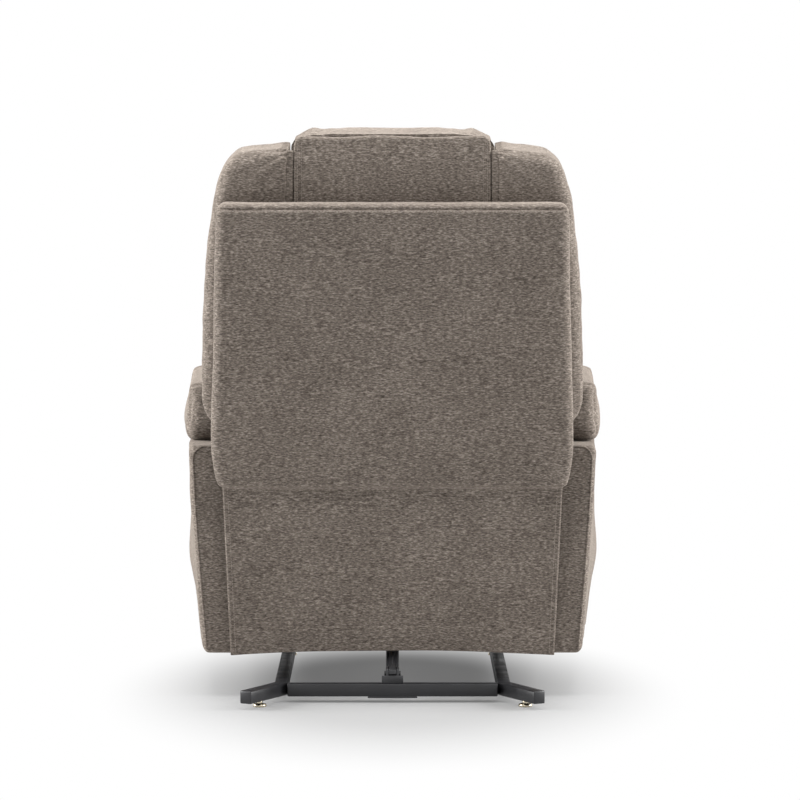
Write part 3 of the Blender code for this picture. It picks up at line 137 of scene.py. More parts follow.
floor_paint = bpy.data.materials.new("white studio floor")
floor_paint.use_nodes = True
tree = floor_paint.node_tree
tree.nodes.clear()
rays = add(tree, "LightPath")
seen = add(tree, "Math", {0: rays.outputs["Is Camera Ray"], 1: rays.outputs["Is Glossy Ray"]},
           operation="MAXIMUM")
matt = add(tree, "BsdfDiffuse", {"Color": (FLOOR_MATT, FLOOR_MATT, FLOOR_MATT, 1.0)})
bright = add(tree, "BsdfDiffuse", {"Color": (FLOOR_WHITE, FLOOR_WHITE, FLOOR_WHITE, 1.0)})
haze = add(tree, "Emission", {"Color": WHITE, "Strength": FLOOR_HAZE})
bright = add(tree, "AddShader", {0: bright.outputs[0], 1: haze.outputs[0]})
burnt = add(tree, "Emission", {"Color": WHITE, "Strength": 1.0})
place = add(tree, "TexCoord")
oval = add(tree, "Mapping", {0: place.outputs["Object"], 1: (0.0, -SHADOW_CENTRE_Y / SHADOW_DEEP, 0.0),
                             3: (1 / SHADOW_ACROSS, 1 / SHADOW_DEEP, 1.0)})
away = add(tree, "VectorMath", {0: oval.outputs[0]}, operation="LENGTH")
away = add(tree, "MapRange", {0: away.outputs["Value"], 1: FLOOR_NEAR, 2: FLOOR_FAR},
           interpolation_type="SMOOTHSTEP")
bright = add(tree, "MixShader", {0: away.outputs[0], 1: bright.outputs[0], 2: burnt.outputs[0]})
mixed = add(tree, "MixShader", {0: seen.outputs[0], 1: matt.outputs[0], 2: bright.outputs[0]})
add(tree, "OutputMaterial", {"Surface": mixed.outputs[0]})

floor_mesh = bpy.data.meshes.new("floor")
bm = bmesh.new()
bmesh.ops.create_grid(bm, x_segments=1, y_segments=1, size=FLOOR_HALF)
bm.to_mesh(floor_mesh)
bm.free()
floor_mesh.materials.append(floor_paint)
floor = put("floor", floor_mesh)

SURROUND = 0.385      # strength of the white surround as the chair sees it

world = bpy.context.scene.world or bpy.data.worlds.new("world")
bpy.context.scene.world = world
world.use_nodes = True
tree = world.node_tree
tree.nodes.clear()
rays = add(tree, "LightPath")
seen = add(tree, "Math", {0: rays.outputs["Is Camera Ray"], 1: rays.outputs["Is Glossy Ray"]},
           operation="MAXIMUM")
seen = add(tree, "Math", {0: seen.outputs[0], 1: rays.outputs["Is Transmission Ray"]}, operation="MAXIMUM")
soft = add(tree, "Background", {"Color": WHITE, "Strength": SURROUND})
white = add(tree, "Background", {"Color": WHITE, "Strength": 1.0})
mixed = add(tree, "MixShader", {0: seen.outputs[0], 1: soft.outputs[0], 2: white.outputs[0]})
add(tree, "OutputWorld", {"Surface": mixed.outputs[0]})

for name, place, aim, size, power in (("overhead softbox", (0.0, 0.5, 3.5), (0.0, 0.2, 0.4), 2.6, 128.0),
                                      ("left softbox", (3.6, 0.10, 1.8), (0.0, 0.0, 0.7), 2.4, 220.0),
                                      ("right softbox", (-3.6, 0.10, 1.8), (0.0, 0.0, 0.7), 2.4, 220.0)):
    lamp_data = bpy.data.lights.new(name, "AREA")
    lamp_data.shape = "SQUARE"
    lamp_data.size = size
    lamp_data.energy = power
    lamp = put(name, lamp_data)
    lamp.location = place
    lamp.rotation_euler = (Vector(aim) - Vector(place)).to_track_quat("-Z", "Y").to_euler()


# ---------------- outside back
# The padded panel that closes the back of the chair: chenille over a thin foam wrap on a
# plywood board, blind-tacked along both sides and topstitched a finger's width below its top.
def new_material(name):
    """A material, its node tree, its main shader, and places on the piece in metres."""
    material = bpy.data.materials.new(name)
    material.use_nodes = True
    tree = material.node_tree
    return material, tree, tree.nodes["Principled BSDF"], add(tree, "TexCoord").outputs["Object"]


def chenille(name, dark, mid, light, row, run):
    """Chenille, a woven cloth of fuzzy slub yarn. Each row is one thick yarn whose colour drifts
    along it, so it reads as short level streaks, and its pile lightens where it is seen edge on.
    row is the spacing of the rows and run the length of a streak, in metres."""
    cloth, tree, shader, place = new_material(name)
    facing = add(tree, "NewGeometry")
    facing = add(tree, "SeparateXYZ", {0: facing.outputs["Normal"]})
    level = add(tree, "Math", {0: facing.outputs["Z"]}, operation="ABSOLUTE")
    steep, flat = 0.62, 0.80        # how far up a face looks where it starts to count as level, and does
    level = add(tree, "MapRange", {0: level.outputs[0], 1: steep, 2: flat})

    def streaks(share, detail):
        """Slubs of the yarn: rows across an upright face and across a level one, joined."""
        found = []
        for stretch in ((1 / run, 1 / run, 1 / row), (1 / run, 1 / row, 1 / run)):
            rows = add(tree, "Mapping", {0: place, 3: [value * share for value in stretch]})
            found.append(add(tree, "TexNoise", {"Vector": rows.outputs[0], "Scale": 1.0, "Detail": detail,
                                                "Roughness": 0.55}))
        return add(tree, "Mix", {0: level.outputs[0], 2: found[0].outputs[0], 3: found[1].outputs[0]})

    slubs = streaks(1.0, 1.0)
    fuzz = streaks(1.8, 2.0)
    patches = add(tree, "TexNoise", {"Vector": place, "Scale": 9.0, "Detail": 2.0})
    yarn = add(tree, "Mix", {0: 0.45, 2: slubs.outputs[0], 3: fuzz.outputs[0]})
    tone = add(tree, "Math", {0: patches.outputs[0], 1: 0.10, 2: -0.05}, operation="MULTIPLY_ADD")
    tone = add(tree, "Math", {0: yarn.outputs[0], 1: tone.outputs[0]}, operation="ADD")
    low = add(tree, "MapRange", {0: tone.outputs[0], 1: 0.34, 2: 0.49})
    high = add(tree, "MapRange", {0: tone.outputs[0], 1: 0.51, 2: 0.68})
    colour = add(tree, "Mix", {0: low.outputs[0], 6: paint(dark), 7: paint(mid)}, data_type="RGBA")
    colour = add(tree, "Mix", {0: high.outputs[0], 6: colour.outputs[2], 7: paint(light)}, data_type="RGBA")
    pile = add(tree, "Bump", {"Strength": 0.55, "Distance": 0.0009, "Height": yarn.outputs[0]})
    feed(tree, shader, {"Base Color": colour.outputs[2], "Normal": pile.outputs[0], "Roughness": 0.92,
                        "Specular IOR Level": 0.20, "Sheen Weight": 0.30, "Sheen Roughness": 0.45,
                        "Sheen Tint": paint("#cfc4b8")})
    return cloth


# Streaks of 8 mm on rows of 2.4 mm: the real rows are 1.5 mm, which would not show.
taupe = chenille("taupe chenille", "#433c37", "#6c635b", "#9d938a", 0.0024, 0.008)

HINGE = Vector((0.0, 0.215, 0.400))
LEAN = math.radians(7.0)


def leaned(points):
    """Backrest places (across, to the rear, up from the hinge) as places in the room."""
    points = np.asarray(points, float)
    rear, up = points[:, 1], points[:, 2]
    return np.column_stack((points[:, 0], HINGE.y + rear * math.cos(LEAN) + up * math.sin(LEAN),
                            HINGE.z + up * math.cos(LEAN) - rear * math.sin(LEAN)))


def unleaned(points):
    """Places in the room as backrest places, the reverse of leaned."""
    y, z = points[:, 1] - HINGE.y, points[:, 2] - HINGE.z
    return np.column_stack((points[:, 0], y * math.cos(LEAN) - z * math.sin(LEAN),
                            y * math.sin(LEAN) + z * math.cos(LEAN)))


def skin(xs, ys, zs):
    """The outside of a block cut at these places: its points and its four-sided panels."""
    index, points, panels = {}, [], []
    places = (xs, ys, zs)
    last = [len(row) - 1 for row in places]
    for axis in range(3):
        a, b = [other for other in range(3) if other != axis]
        for end in (0, last[axis]):
            for i in range(last[a]):
                for j in range(last[b]):
                    panel = []
                    for step_a, step_b in ((0, 0), (1, 0), (1, 1), (0, 1)):
                        key = [0, 0, 0]
                        key[axis], key[a], key[b] = end, i + step_a, j + step_b
                        key = tuple(key)
                        if key not in index:
                            index[key] = len(points)
                            points.append([row[k] for row, k in zip(places, key)])
                        panel.append(index[key])
                    panels.append(panel)
    return np.array(points, float), panels


def face_outward(mesh, weld=0.0):
    """Joins points that are closer than weld, and turns each panel's face outward."""
    bm = bmesh.new()
    bm.from_mesh(mesh)
    if weld:
        bmesh.ops.remove_doubles(bm, verts=bm.verts, dist=weld)
    bmesh.ops.recalc_face_normals(bm, faces=bm.faces)
    bm.to_mesh(mesh)
    bm.free()


def make_piece(name, points, panels, material):
    mesh = bpy.data.meshes.new(name)
    mesh.from_pydata([tuple(p) for p in points], [], panels)
    mesh.materials.append(material)
    face_outward(mesh)
    mesh.shade_smooth()
    return put(name, mesh)


def cover(name, low, high, counts, corner, material, form=None, extra=((), (), ()), leans=False):
    """A padded block with rounded edges between two corners, cut counts times along its sides.
    form(points, share) shapes it; share runs from -1 to 1 along each side. extra holds further
    cuts for each axis, where a seam needs finer panels."""
    low, high = np.minimum(low, high), np.maximum(low, high)
    half, centre = (high - low) / 2, (high + low) / 2
    rows = []
    for axis in range(3):
        edge = half[axis] - corner
        row = list(np.linspace(-edge, edge, counts[axis] + 2))
        for turn in (11.25, 22.5, 33.75, 45.0):     # degrees round the edge
            reach = edge + corner * math.tan(math.radians(turn))
            row += [-reach, reach]
        row += [place - centre[axis] for place in extra[axis]]
        rows.append(sorted(set(round(value, 6) for value in row)))
    flat, panels = skin(*rows)
    inner = np.clip(flat, corner - half, half - corner)
    out = flat - inner
    length = np.linalg.norm(out, axis=1)
    length[length == 0] = 1.0
    points = centre + inner + out / length[:, None] * corner
    if form:
        points = form(points, flat / half)
    if leans:
        points = leaned(points)
    return make_piece(name, points, panels, material)


def coordinates(piece):
    found = np.empty(len(piece.data.vertices) * 3)
    piece.data.vertices.foreach_get("co", found)
    return found.reshape(-1, 3)


def set_coordinates(piece, points):
    piece.data.vertices.foreach_set("co", np.asarray(points, float).ravel())
    piece.data.update()


def directions(piece):
    """The outward direction at each point of a piece."""
    found = np.empty(len(piece.data.vertices) * 3)
    piece.data.vertices.foreach_get("normal", found)
    return found.reshape(-1, 3)


def drift(points, wave, depth, seed):
    """A slow, uneven swell over a cover: how far each point stands in or out."""
    offset = Vector((seed * 7.31, seed * 3.17, seed * 5.03))        # each seed reads another place
    return depth * np.array([noise.noise(Vector(p) / wave + offset) for p in points])


def crease(distance, width):
    """1 on a sewn line, fading out on both sides."""
    return np.exp(-(np.asarray(distance) / width) ** 2)


def along_table(value, table):
    places, amounts = zip(*table)
    return np.interp(value, places, amounts)


def tighter(depth, share, reach):
    """Draws a rounded edge up tight: depths under the edge, within this reach, shrink by this share."""
    return depth * (1 - share * np.exp(-(depth / reach) ** 2))


def plain_mesh(piece):
    """The mesh that a piece and its modifiers make."""
    bpy.context.view_layer.update()
    graph = bpy.context.evaluated_depsgraph_get()
    return bpy.data.meshes.new_from_object(piece.evaluated_get(graph))


def finish_cover(piece, levels=1):
    """Settles the shape: its modifiers and a smoothing of its panels are made part of the mesh."""
    if levels:
        smooth = piece.modifiers.new("smooth cover", "SUBSURF")
        smooth.levels = smooth.render_levels = levels
    mesh = plain_mesh(piece)
    piece.modifiers.clear()
    old = piece.data
    piece.data = mesh
    mesh.name = piece.name
    bpy.data.meshes.remove(old)
    mesh.shade_smooth()
    return piece


def stand_out(piece, amounts):
    """Moves each point of a piece outward by its amount."""
    set_coordinates(piece, coordinates(piece) + directions(piece) * amounts[:, None])


def swell(piece, wave, depth, seed):
    """Lets a finished cover undulate."""
    stand_out(piece, drift(coordinates(piece), wave, depth, seed))


BACK_HALF = 0.354
BACK_LOW, BACK_TOP = 0.035, 0.600
BACK_FRONT, BACK_REAR = 0.105, 0.165
BACK_OUTLINE = ((BACK_LOW, 0.336), (0.075, 0.350), (0.110, BACK_HALF), (BACK_TOP, 0.339))
BACK_CORNER, BACK_CROWN = 0.019, 0.006
BACK_FOOT_HEIGHT, BACK_FOOT_THIN = 0.185, 0.037     # the padding thins down to the skirt
SEAM_H = BACK_TOP - 0.0105      # the row of topstitching below the top edge
SEAM_DEPTH, SEAM_WIDTH = 0.0042, 0.0026


def outside_back_form(points, share):
    x, d, h = points.T
    wide = along_table(h, BACK_OUTLINE)
    rearward = np.clip(share[:, 1], 0, 1)
    crown = BACK_CROWN * (1 - share[:, 0] ** 2) * (1 - share[:, 2] ** 2) * rearward
    seam = SEAM_DEPTH * crease(h - SEAM_H, SEAM_WIDTH) * rearward
    foot = np.clip(BACK_LOW + BACK_FOOT_HEIGHT - h, 0, None) / BACK_FOOT_HEIGHT
    through = (d - BACK_FRONT) / (BACK_REAR - BACK_FRONT)
    d = d + crown - seam - BACK_FOOT_THIN * foot ** 2 * through
    h = BACK_LOW + tighter(h - BACK_LOW, share=0.7, reach=0.030)
    return np.column_stack((x * wide / BACK_HALF, d, h))


seam_cuts = [SEAM_H + offset for offset in (-0.004, -0.0015, 0.0015, 0.004)]
outside_back = cover("outside_back_cover", (-BACK_HALF, BACK_FRONT, BACK_LOW),
                     (BACK_HALF, BACK_REAR, BACK_TOP), counts=(46, 2, 38), corner=BACK_CORNER,
                     material=taupe, form=outside_back_form, extra=((), (), seam_cuts), leans=True)
finish_cover(outside_back)
swell(outside_back, wave=0.11, depth=0.0016, seed=1)
swell(outside_back, wave=0.035, depth=0.0006, seed=2)
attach(outside_back, "back")
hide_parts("outside_back")


# ---------------- topstitching
# Bonded polyester thread, a shade lighter than the cloth, sewn in 5 mm stitches. Each row lies
# in the groove that it has pulled into the padding.
thread, tree, shader, place = new_material("taupe polyester thread")
# The twist of the thread, drawn at 0.8 mm where the real one is 0.2 mm.
twist = add(tree, "TexNoise", {"Vector": place, "Scale": 1250.0, "Detail": 1.0})
colour = add(tree, "Mix", {0: twist.outputs[0], 6: paint("#6d635b"), 7: paint("#9c9187")}, data_type="RGBA")
feed(tree, shader, {"Base Color": colour.outputs[2], "Roughness": 0.55})

STITCH, STITCH_SPACE = 0.0042, 0.0062
THREAD = 0.0006     # its radius

stitching = bpy.data.node_groups.new("row of stitches", "GeometryNodeTree")
stitching.interface.new_socket("Geometry", in_out="INPUT", socket_type="NodeSocketGeometry")
for name in ("Spacing", "Stitch", "Thread radius"):
    stitching.interface.new_socket(name, in_out="INPUT", socket_type="NodeSocketFloat")
stitching.interface.new_socket("Finish", in_out="INPUT", socket_type="NodeSocketMaterial")
stitching.interface.new_socket("Geometry", in_out="OUTPUT", socket_type="NodeSocketGeometry")
given = add(stitching, "NodeGroupInput")
line = add(stitching, "GeometryNodeMeshToCurve", {0: given.outputs["Geometry"]})
steps = add(stitching, "GeometryNodeResampleCurve",
            {"Curve": line.outputs[0], "Length": given.outputs["Spacing"]}, mode="LENGTH")
along = add(stitching, "GeometryNodeInputTangent")
aimed = add(stitching, "FunctionNodeAlignRotationToVector", {"Vector": along.outputs[0]}, axis="Z")
one = add(stitching, "GeometryNodeMeshCylinder",
          {"Vertices": 6, "Radius": given.outputs["Thread radius"], "Depth": given.outputs["Stitch"]})
row = add(stitching, "GeometryNodeInstanceOnPoints",
          {"Points": steps.outputs[0], "Instance": one.outputs["Mesh"], "Rotation": aimed.outputs[0]})
real = add(stitching, "GeometryNodeRealizeInstances", {0: row.outputs[0]})
dyed = add(stitching, "GeometryNodeSetMaterial",
           {"Geometry": real.outputs[0], "Material": given.outputs["Finish"]})
add(stitching, "NodeGroupOutput", {0: dyed.outputs[0]})


def set_input(modifier, name, value):
    """Sets one of a node modifier's inputs, found by its name."""
    for item in modifier.node_group.interface.items_tree:
        if item.item_type == "SOCKET" and item.in_out == "INPUT" and item.name == name:
            modifier[item.identifier] = value


def settled(guide, name):
    """The plain mesh piece that a guide and its modifiers make. The guide is removed."""
    mesh = plain_mesh(guide)
    bpy.data.objects.remove(guide, do_unlink=True)
    mesh.name = name
    return put(name, mesh)


def surface(piece):
    """A piece's panels, ready to be searched for the nearest one or the first in a direction."""
    mesh = piece.data
    return BVHTree.FromPolygons([v.co for v in mesh.vertices], [p.vertices for p in mesh.polygons])


def laid_on(piece, lines, lift, toward):
    """The lines moved onto a piece's surface, lift above it. toward is the side that they come
    from, which keeps them on the visible face."""
    panels = surface(piece)
    way = -Vector(toward).normalized()
    found = []
    for line in lines:
        moved = []
        for point in map(Vector, line):
            place, normal = panels.ray_cast(point - way * 0.15, way)[:2]
            if place is None:
                place, normal = panels.find_nearest(point)[:2]
            moved.append(place + normal.normalized() * lift)
        found.append(moved)
    return found


def sew(name, lines, owner):
    """Rows of stitches along lines in the room, as one piece."""
    mesh = bpy.data.meshes.new(name)
    points, links = [], []
    for line in lines:
        first = len(points)
        points += [tuple(p) for p in line]
        links += [(k, k + 1) for k in range(first, len(points) - 1)]
    mesh.from_pydata(points, links, [])
    guide = put(name, mesh)
    modifier = guide.modifiers.new("stitches", "NODES")
    modifier.node_group = stitching
    for socket, value in (("Spacing", STITCH_SPACE), ("Stitch", STITCH), ("Thread radius", THREAD),
                          ("Finish", thread)):
        set_input(modifier, socket, value)
    piece = settled(guide, name)
    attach(piece, owner)
    return piece


BEHIND = (0.0, 1.0, 0.12)       # from behind and a little above
TOP_ROW_HALF = 0.325
top_row = leaned([(x, BACK_REAR + 0.01, SEAM_H) for x in np.linspace(-TOP_ROW_HALF, TOP_ROW_HALF, 120)])
sew("outside_back_topstitch", laid_on(outside_back, [top_row], lift=0.0002, toward=BEHIND), "back")


# ---------------- back skirt
# A single flat piece of the same cloth, doubled and topstitched down both sides and hemmed. It
# is tacked under the outside back and hangs over the skirt rail.
SKIRT_TOP, SKIRT_HEM = 0.4203, 0.085
SKIRT_LAP = 0.017        # it laps up over the foot of the outside back
SKIRT_TOP_Y, SKIRT_HEM_Y = 0.338, 0.2956
SKIRT_TOP_HALF, SKIRT_HEM_HALF = 0.334, 0.320
SKIRT_CLOTH = 0.0030
SIDE_FOLD, HEM_FOLD = 0.965, 0.152      # shares of its half width and height where it is doubled
HEM_DEPTH, HEM_WIDTH = 0.0008, 0.008    # the groove of the hem's seam
HEM_RISE = 0.009        # the middle of the hem hangs higher than its ends
HEM_WAVE, SKIRT_WAVE = 0.0035, 0.0020
SKIRT_OFF_RAIL = 0.0022

columns = [*np.linspace(-1, 1, 61), -0.985, -0.968, 0.968, 0.985]
heights = [*np.linspace(0, 0.9, 46), *np.linspace(0.9, 1, 12), 0.145, 0.150, 0.155, 0.004, 0.012]
columns, heights = sorted(set(np.round(columns, 5))), sorted(set(np.round(heights, 5)))
flat, panels = skin(columns, [0.0, 1.0], heights)
across, through, up = flat.T
half = SKIRT_HEM_HALF + (SKIRT_TOP_HALF - SKIRT_HEM_HALF) * up
x = across * half
fold = 1.0 + 0.5 * (np.abs(across) > SIDE_FOLD) + 0.3 * (up < HEM_FOLD)
z = SKIRT_HEM + (SKIRT_TOP + SKIRT_LAP - SKIRT_HEM) * up
y = SKIRT_HEM_Y + (z - SKIRT_HEM) / (SKIRT_TOP - SKIRT_HEM) * (SKIRT_TOP_Y - SKIRT_HEM_Y) + SKIRT_OFF_RAIL
wave = HEM_WAVE * np.sin(x * 21.0 + 0.6) * (1 - up) ** 1.5
wave = wave + SKIRT_WAVE * np.sin(x * 9.0) * np.sin(up * math.pi)
# Its top lies against the foot of the outside back, found by looking forward from behind it.
foot = surface(outside_back)
for k in np.nonzero(z > SKIRT_TOP - 0.03)[0]:
    hit = foot.ray_cast(Vector((x[k], 0.6, z[k])), Vector((0, -1, 0)))[0]
    if hit is not None:
        y[k] = max(y[k], hit.y + 0.0004)
feather = along_table(z, ((SKIRT_TOP - 0.035, 1.0), (SKIRT_TOP + SKIRT_LAP, 0.12)))
y = y + wave + through * (SKIRT_CLOTH * fold * feather - HEM_DEPTH * crease(up - HEM_FOLD, HEM_WIDTH))
z = z + HEM_RISE * (1 - across ** 2) * (1 - up) ** 4
back_skirt = make_piece("back_skirt_cloth", np.column_stack((x, y, z)), panels, taupe)
finish_cover(back_skirt)
SIDES = (("left", 1), ("right", -1))
skirt_lines = []
for label, side in SIDES:
    for inset in (0.0035, 0.0110):
        skirt_lines.append([(side * (SKIRT_HEM_HALF + (SKIRT_TOP_HALF - SKIRT_HEM_HALF) * t - inset),
                             SKIRT_HEM_Y + t * (SKIRT_TOP_Y - SKIRT_HEM_Y) + 0.02,
                             SKIRT_HEM + (SKIRT_TOP - SKIRT_HEM) * t) for t in np.linspace(0.02, 0.99, 90)])
skirt_rows = laid_on(back_skirt, skirt_lines, lift=0.0002, toward=(0, 1, 0))
hem_stitches = sew("back_skirt_stitches", skirt_rows, "chair")
hem_stitches.parent = None
for sheet in (back_skirt, hem_stitches):
    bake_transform(sheet)
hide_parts("back_skirt")


# ---------------- back wings
# A padded wing on each side of the back, foam and fibre in a cover that is gathered where it
# meets the head pillow. It is shallow below, where it clears the arm, and full above.
WING_INNER, WING_OUTER = 0.205, 0.375
WING_TIGHT = 0.2015      # its inner side beside the head pillow
WING_LOW, WING_TOP = 0.150, 0.697
WING_REAR = BACK_FRONT - 0.0003
WING_DEEP, WING_SHALLOW = 0.195, 0.1045
WING_STEP, WING_STEP_HIGH = 0.200, 0.085        # where it starts to deepen, and over what height
WING_OUTLINE = ((0.150, 0.358), (0.200, 0.373), (0.280, 0.375), (0.400, 0.369), (0.510, 0.361),
                (0.600, 0.349), (0.650, 0.337), (0.700, 0.316))
GATHER_X, GATHER_H = 0.196, 0.692       # the corner where the head pillow is sewn in
GATHER_DEPTH, GATHER_REACH = 0.0042, 0.045
WING_PUCKER, WING_HOLLOW = 0.0016, 0.004


def leaning_in(h):
    """How far the rear of the wings and of the head pillow's flap curves in above the back."""
    return 0.022 * (np.clip(h - BACK_TOP, 0, None) / 0.120) ** 1.5


def wing_inner(h):
    return along_table(h, ((0.555, WING_INNER), (0.575, WING_TIGHT)))


def wing_form(side):
    def form(points, share):
        x, d, h = np.abs(points[:, 0]), points[:, 1], points[:, 2]
        outer = along_table(h, WING_OUTLINE)
        full = np.clip((h - WING_STEP) / WING_STEP_HIGH, 0, 1)
        deep = WING_SHALLOW + (WING_DEEP - WING_SHALLOW) * full ** 2 * (3 - 2 * full)
        deep = deep - 0.030 * np.clip((h - 0.60) / 0.10, 0, None) ** 2
        across = (x - WING_INNER) / (WING_OUTER - WING_INNER)
        rearward, upward = np.clip(share[:, 1], 0, 1), np.clip(share[:, 2], 0, 1)
        d = WING_REAR - (WING_REAR - d) * deep / WING_DEEP - leaning_in(h) * rearward
        top = h - 0.012 * across ** 2 * upward ** 3
        near = np.exp(-(across / 0.35) ** 2)
        top = WING_TOP - tighter(WING_TOP - top, share=0.75 * near, reach=0.050)
        across = tighter(across, share=0.80 * np.maximum(rearward, upward), reach=0.35)
        x = wing_inner(h) + across * (outer - wing_inner(h))
        # The gathers fan out from the corner where the head pillow is sewn in.
        dx, dh = x - GATHER_X, top - GATHER_H
        fan = np.sin(np.arctan2(dx, -dh) * 15.0) * np.exp(-np.hypot(dx, dh) / GATHER_REACH) * GATHER_DEPTH
        puckers = WING_PUCKER * np.sin(h * 118.0 + 2.0 * side) * np.clip(across - 0.45, 0, 1)
        x = x + puckers * np.clip(1 - np.abs(share[:, 1]), 0, 1)
        x = x - WING_HOLLOW * (1 - share[:, 1] ** 2) * (across < 0.05)
        return np.column_stack((side * x, d + fan * rearward, top + fan * 0.8 * (share[:, 2] > 0.8)))
    return form


for label, side in SIDES:
    wing = cover(f"back_wing_cover_{label}", (side * WING_INNER, WING_REAR - WING_DEEP, WING_LOW),
                 (side * WING_OUTER, WING_REAR, WING_TOP), counts=(16, 16, 46), corner=0.034,
                 material=taupe, form=wing_form(side), leans=True)
    finish_cover(wing)
    swell(wing, wave=0.07, depth=0.0022, seed=3 + side)
    swell(wing, wave=0.022, depth=0.0007, seed=9 + side)
    points = coordinates(wing)
    points[:, 0] = side * np.maximum(side * points[:, 0], wing_inner(unleaned(points)[:, 2]))
    set_coordinates(wing, points)
    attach(wing, "back")
    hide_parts(f"back_wing_{label}")


# ---------------- head pillow and its flap
# The top pillow hangs over the back on a flap of the same cloth. The pillow is fibre filled,
# with a welt just under its top edge; the flap is doubled, with two rows of topstitching a side.
STUFFING_STEPS = 20


def stuff(piece, facet, cap, held):
    """Fills a cover. It is cut into even facets and blown out by its filling, while the points
    that held(points) picks stay on their board. No point moves further than cap."""
    facets = piece.modifiers.new("even facets", "REMESH")
    facets.mode = "VOXEL"
    facets.voxel_size = facet
    facets.use_smooth_shade = True
    material = piece.data.materials[0]
    finish_cover(piece, 0)
    if not piece.data.materials:
        piece.data.materials.append(material)
    before = coordinates(piece)
    group = piece.vertex_groups.new(name="held")
    group.add([int(k) for k in np.nonzero(held(before))[0]], 1.0, "REPLACE")
    cloth = piece.modifiers.new("cover", "CLOTH")
    cloth.settings.quality = 4
    cloth.settings.mass = 0.25
    cloth.settings.tension_stiffness = 12.0
    cloth.settings.compression_stiffness = 12.0
    cloth.settings.bending_stiffness = 0.4
    cloth.settings.use_pressure = True
    cloth.settings.uniform_pressure_force = 4.0
    cloth.settings.effector_weights.gravity = 0.0
    cloth.settings.vertex_group_mass = "held"
    cloth.collision_settings.use_collision = False
    scene = bpy.context.scene
    for number in range(1, STUFFING_STEPS + 1):
        scene.frame_set(number)
    graph = bpy.context.evaluated_depsgraph_get()
    blown = piece.evaluated_get(graph).to_mesh()
    after = np.empty(len(blown.vertices) * 3)
    blown.vertices.foreach_get("co", after)
    piece.evaluated_get(graph).to_mesh_clear()
    move = after.reshape(-1, 3) - before
    length = np.linalg.norm(move, axis=1)
    length[length == 0] = 1.0
    piece.modifiers.remove(cloth)
    scene.frame_set(1)
    set_coordinates(piece, before + move * np.minimum(1.0, cap / length)[:, None])
    piece.vertex_groups.clear()
    return piece


def fill_out(piece, low, high, leans=False):
    """Stretches a filled cover to the room that it has between its neighbours."""
    points = coordinates(piece)
    if leans:
        points = unleaned(points)
    low, high = np.minimum(low, high), np.maximum(low, high)
    found_low, found_high = points.min(axis=0), points.max(axis=0)
    points = low + (points - found_low) * (high - low) / (found_high - found_low)
    set_coordinates(piece, leaned(points) if leans else points)


def crest(along, height):
    """The greatest height that a piece has at each point's place along it."""
    places = np.linspace(along.min(), along.max(), 41)
    step = places[1] - places[0]
    greatest = [height[np.abs(along - place) <= step].max() for place in places]
    return np.interp(along, places, greatest)


def square_ends(across, half):
    """Draws the rounded ends of a pillow up towards its full half width."""
    return np.copysign(half - tighter(half - np.abs(across), share=0.70, reach=0.022), across)


HEAD_HALF = 0.200
HEAD_LOW, HEAD_TOP = 0.580, 0.726
HEAD_FRONT, HEAD_SWOLLEN = -0.100, -0.118       # its front before and after it is filled
HEAD_CREST, HEAD_WELT = HEAD_TOP + 0.002, HEAD_TOP - 0.016
HEAD_CROWN, HEAD_SLOPE = 0.014, 0.012
HEAD_WRINKLE, HEAD_ROPE, WELT_DEPTH = 0.0026, 0.0012, 0.0030
# How far its top drops towards its ends: places across, and drops.
HEAD_ENDS = ((0.120, 0.0), (0.155, 0.002), (0.175, 0.006), (0.188, 0.011), (0.200, 0.020))
FLAP_HALF, FLAP_LOW, FLAP_TOP = 0.1912, 0.566, 0.7215
FLAP_CLOTH = 0.013
HEAD_REAR = BACK_FRONT - FLAP_CLOTH - 0.0006


def head_form(points, share):
    x, d, h = points.T
    front = HEAD_CROWN * (1 - share[:, 0] ** 2) * (1 - share[:, 2] ** 2) * np.clip(-share[:, 1], 0, None)
    slope = HEAD_SLOPE * np.clip(share[:, 2], 0, None) * np.abs(share[:, 0]) ** 4
    return np.column_stack((x, d - front, h - slope))


head_pillow = cover("head_pillow_cover", (-HEAD_HALF + 0.004, HEAD_FRONT + 0.006, HEAD_LOW + 0.004),
                    (HEAD_HALF - 0.004, HEAD_REAR, HEAD_TOP - 0.006), counts=(26, 12, 8), corner=0.032,
                    material=taupe, form=head_form, leans=True)
stuff(head_pillow, facet=0.0060, cap=0.016, held=lambda points: unleaned(points)[:, 1] > HEAD_REAR - 0.006)
fill_out(head_pillow, (-HEAD_HALF + 0.0003, HEAD_SWOLLEN, HEAD_LOW),
         (HEAD_HALF - 0.0003, HEAD_REAR, HEAD_CREST), leans=True)
points = unleaned(coordinates(head_pillow))
x, d, h = points.T
# Its top runs level almost to the ends, however far the filling has crowned the middle.
level_top = HEAD_CREST - along_table(np.abs(x), HEAD_ENDS)
h = HEAD_LOW + (h - HEAD_LOW) * (level_top - HEAD_LOW) / (crest(x, h) - HEAD_LOW)
d = HEAD_REAR - tighter(HEAD_REAR - d, share=0.75, reach=0.050)
near_rear = np.exp(-((HEAD_REAR - d) / 0.050) ** 2)
head_crest = crest(x, h)
h = head_crest - tighter(head_crest - h, share=0.80 * near_rear, reach=0.045)
d = np.minimum(d, HEAD_REAR - leaning_in(h))
x = square_ends(x, HEAD_HALF)
set_coordinates(head_pillow, leaned(np.column_stack((x, d, h))))
corner = np.exp(-np.hypot(np.abs(x) - HEAD_HALF, h - HEAD_TOP) / 0.055)
wrinkle = HEAD_WRINKLE * corner * np.sin((np.abs(x) * 0.75 + h * 0.65) * 260.0)
rope = HEAD_ROPE * np.sin(x * 52.0 + 0.4) * crease(h - (HEAD_TOP - 0.022), width=0.018)
pulled = WELT_DEPTH * crease(h - HEAD_WELT, width=0.0060) * (d > HEAD_REAR - 0.05)
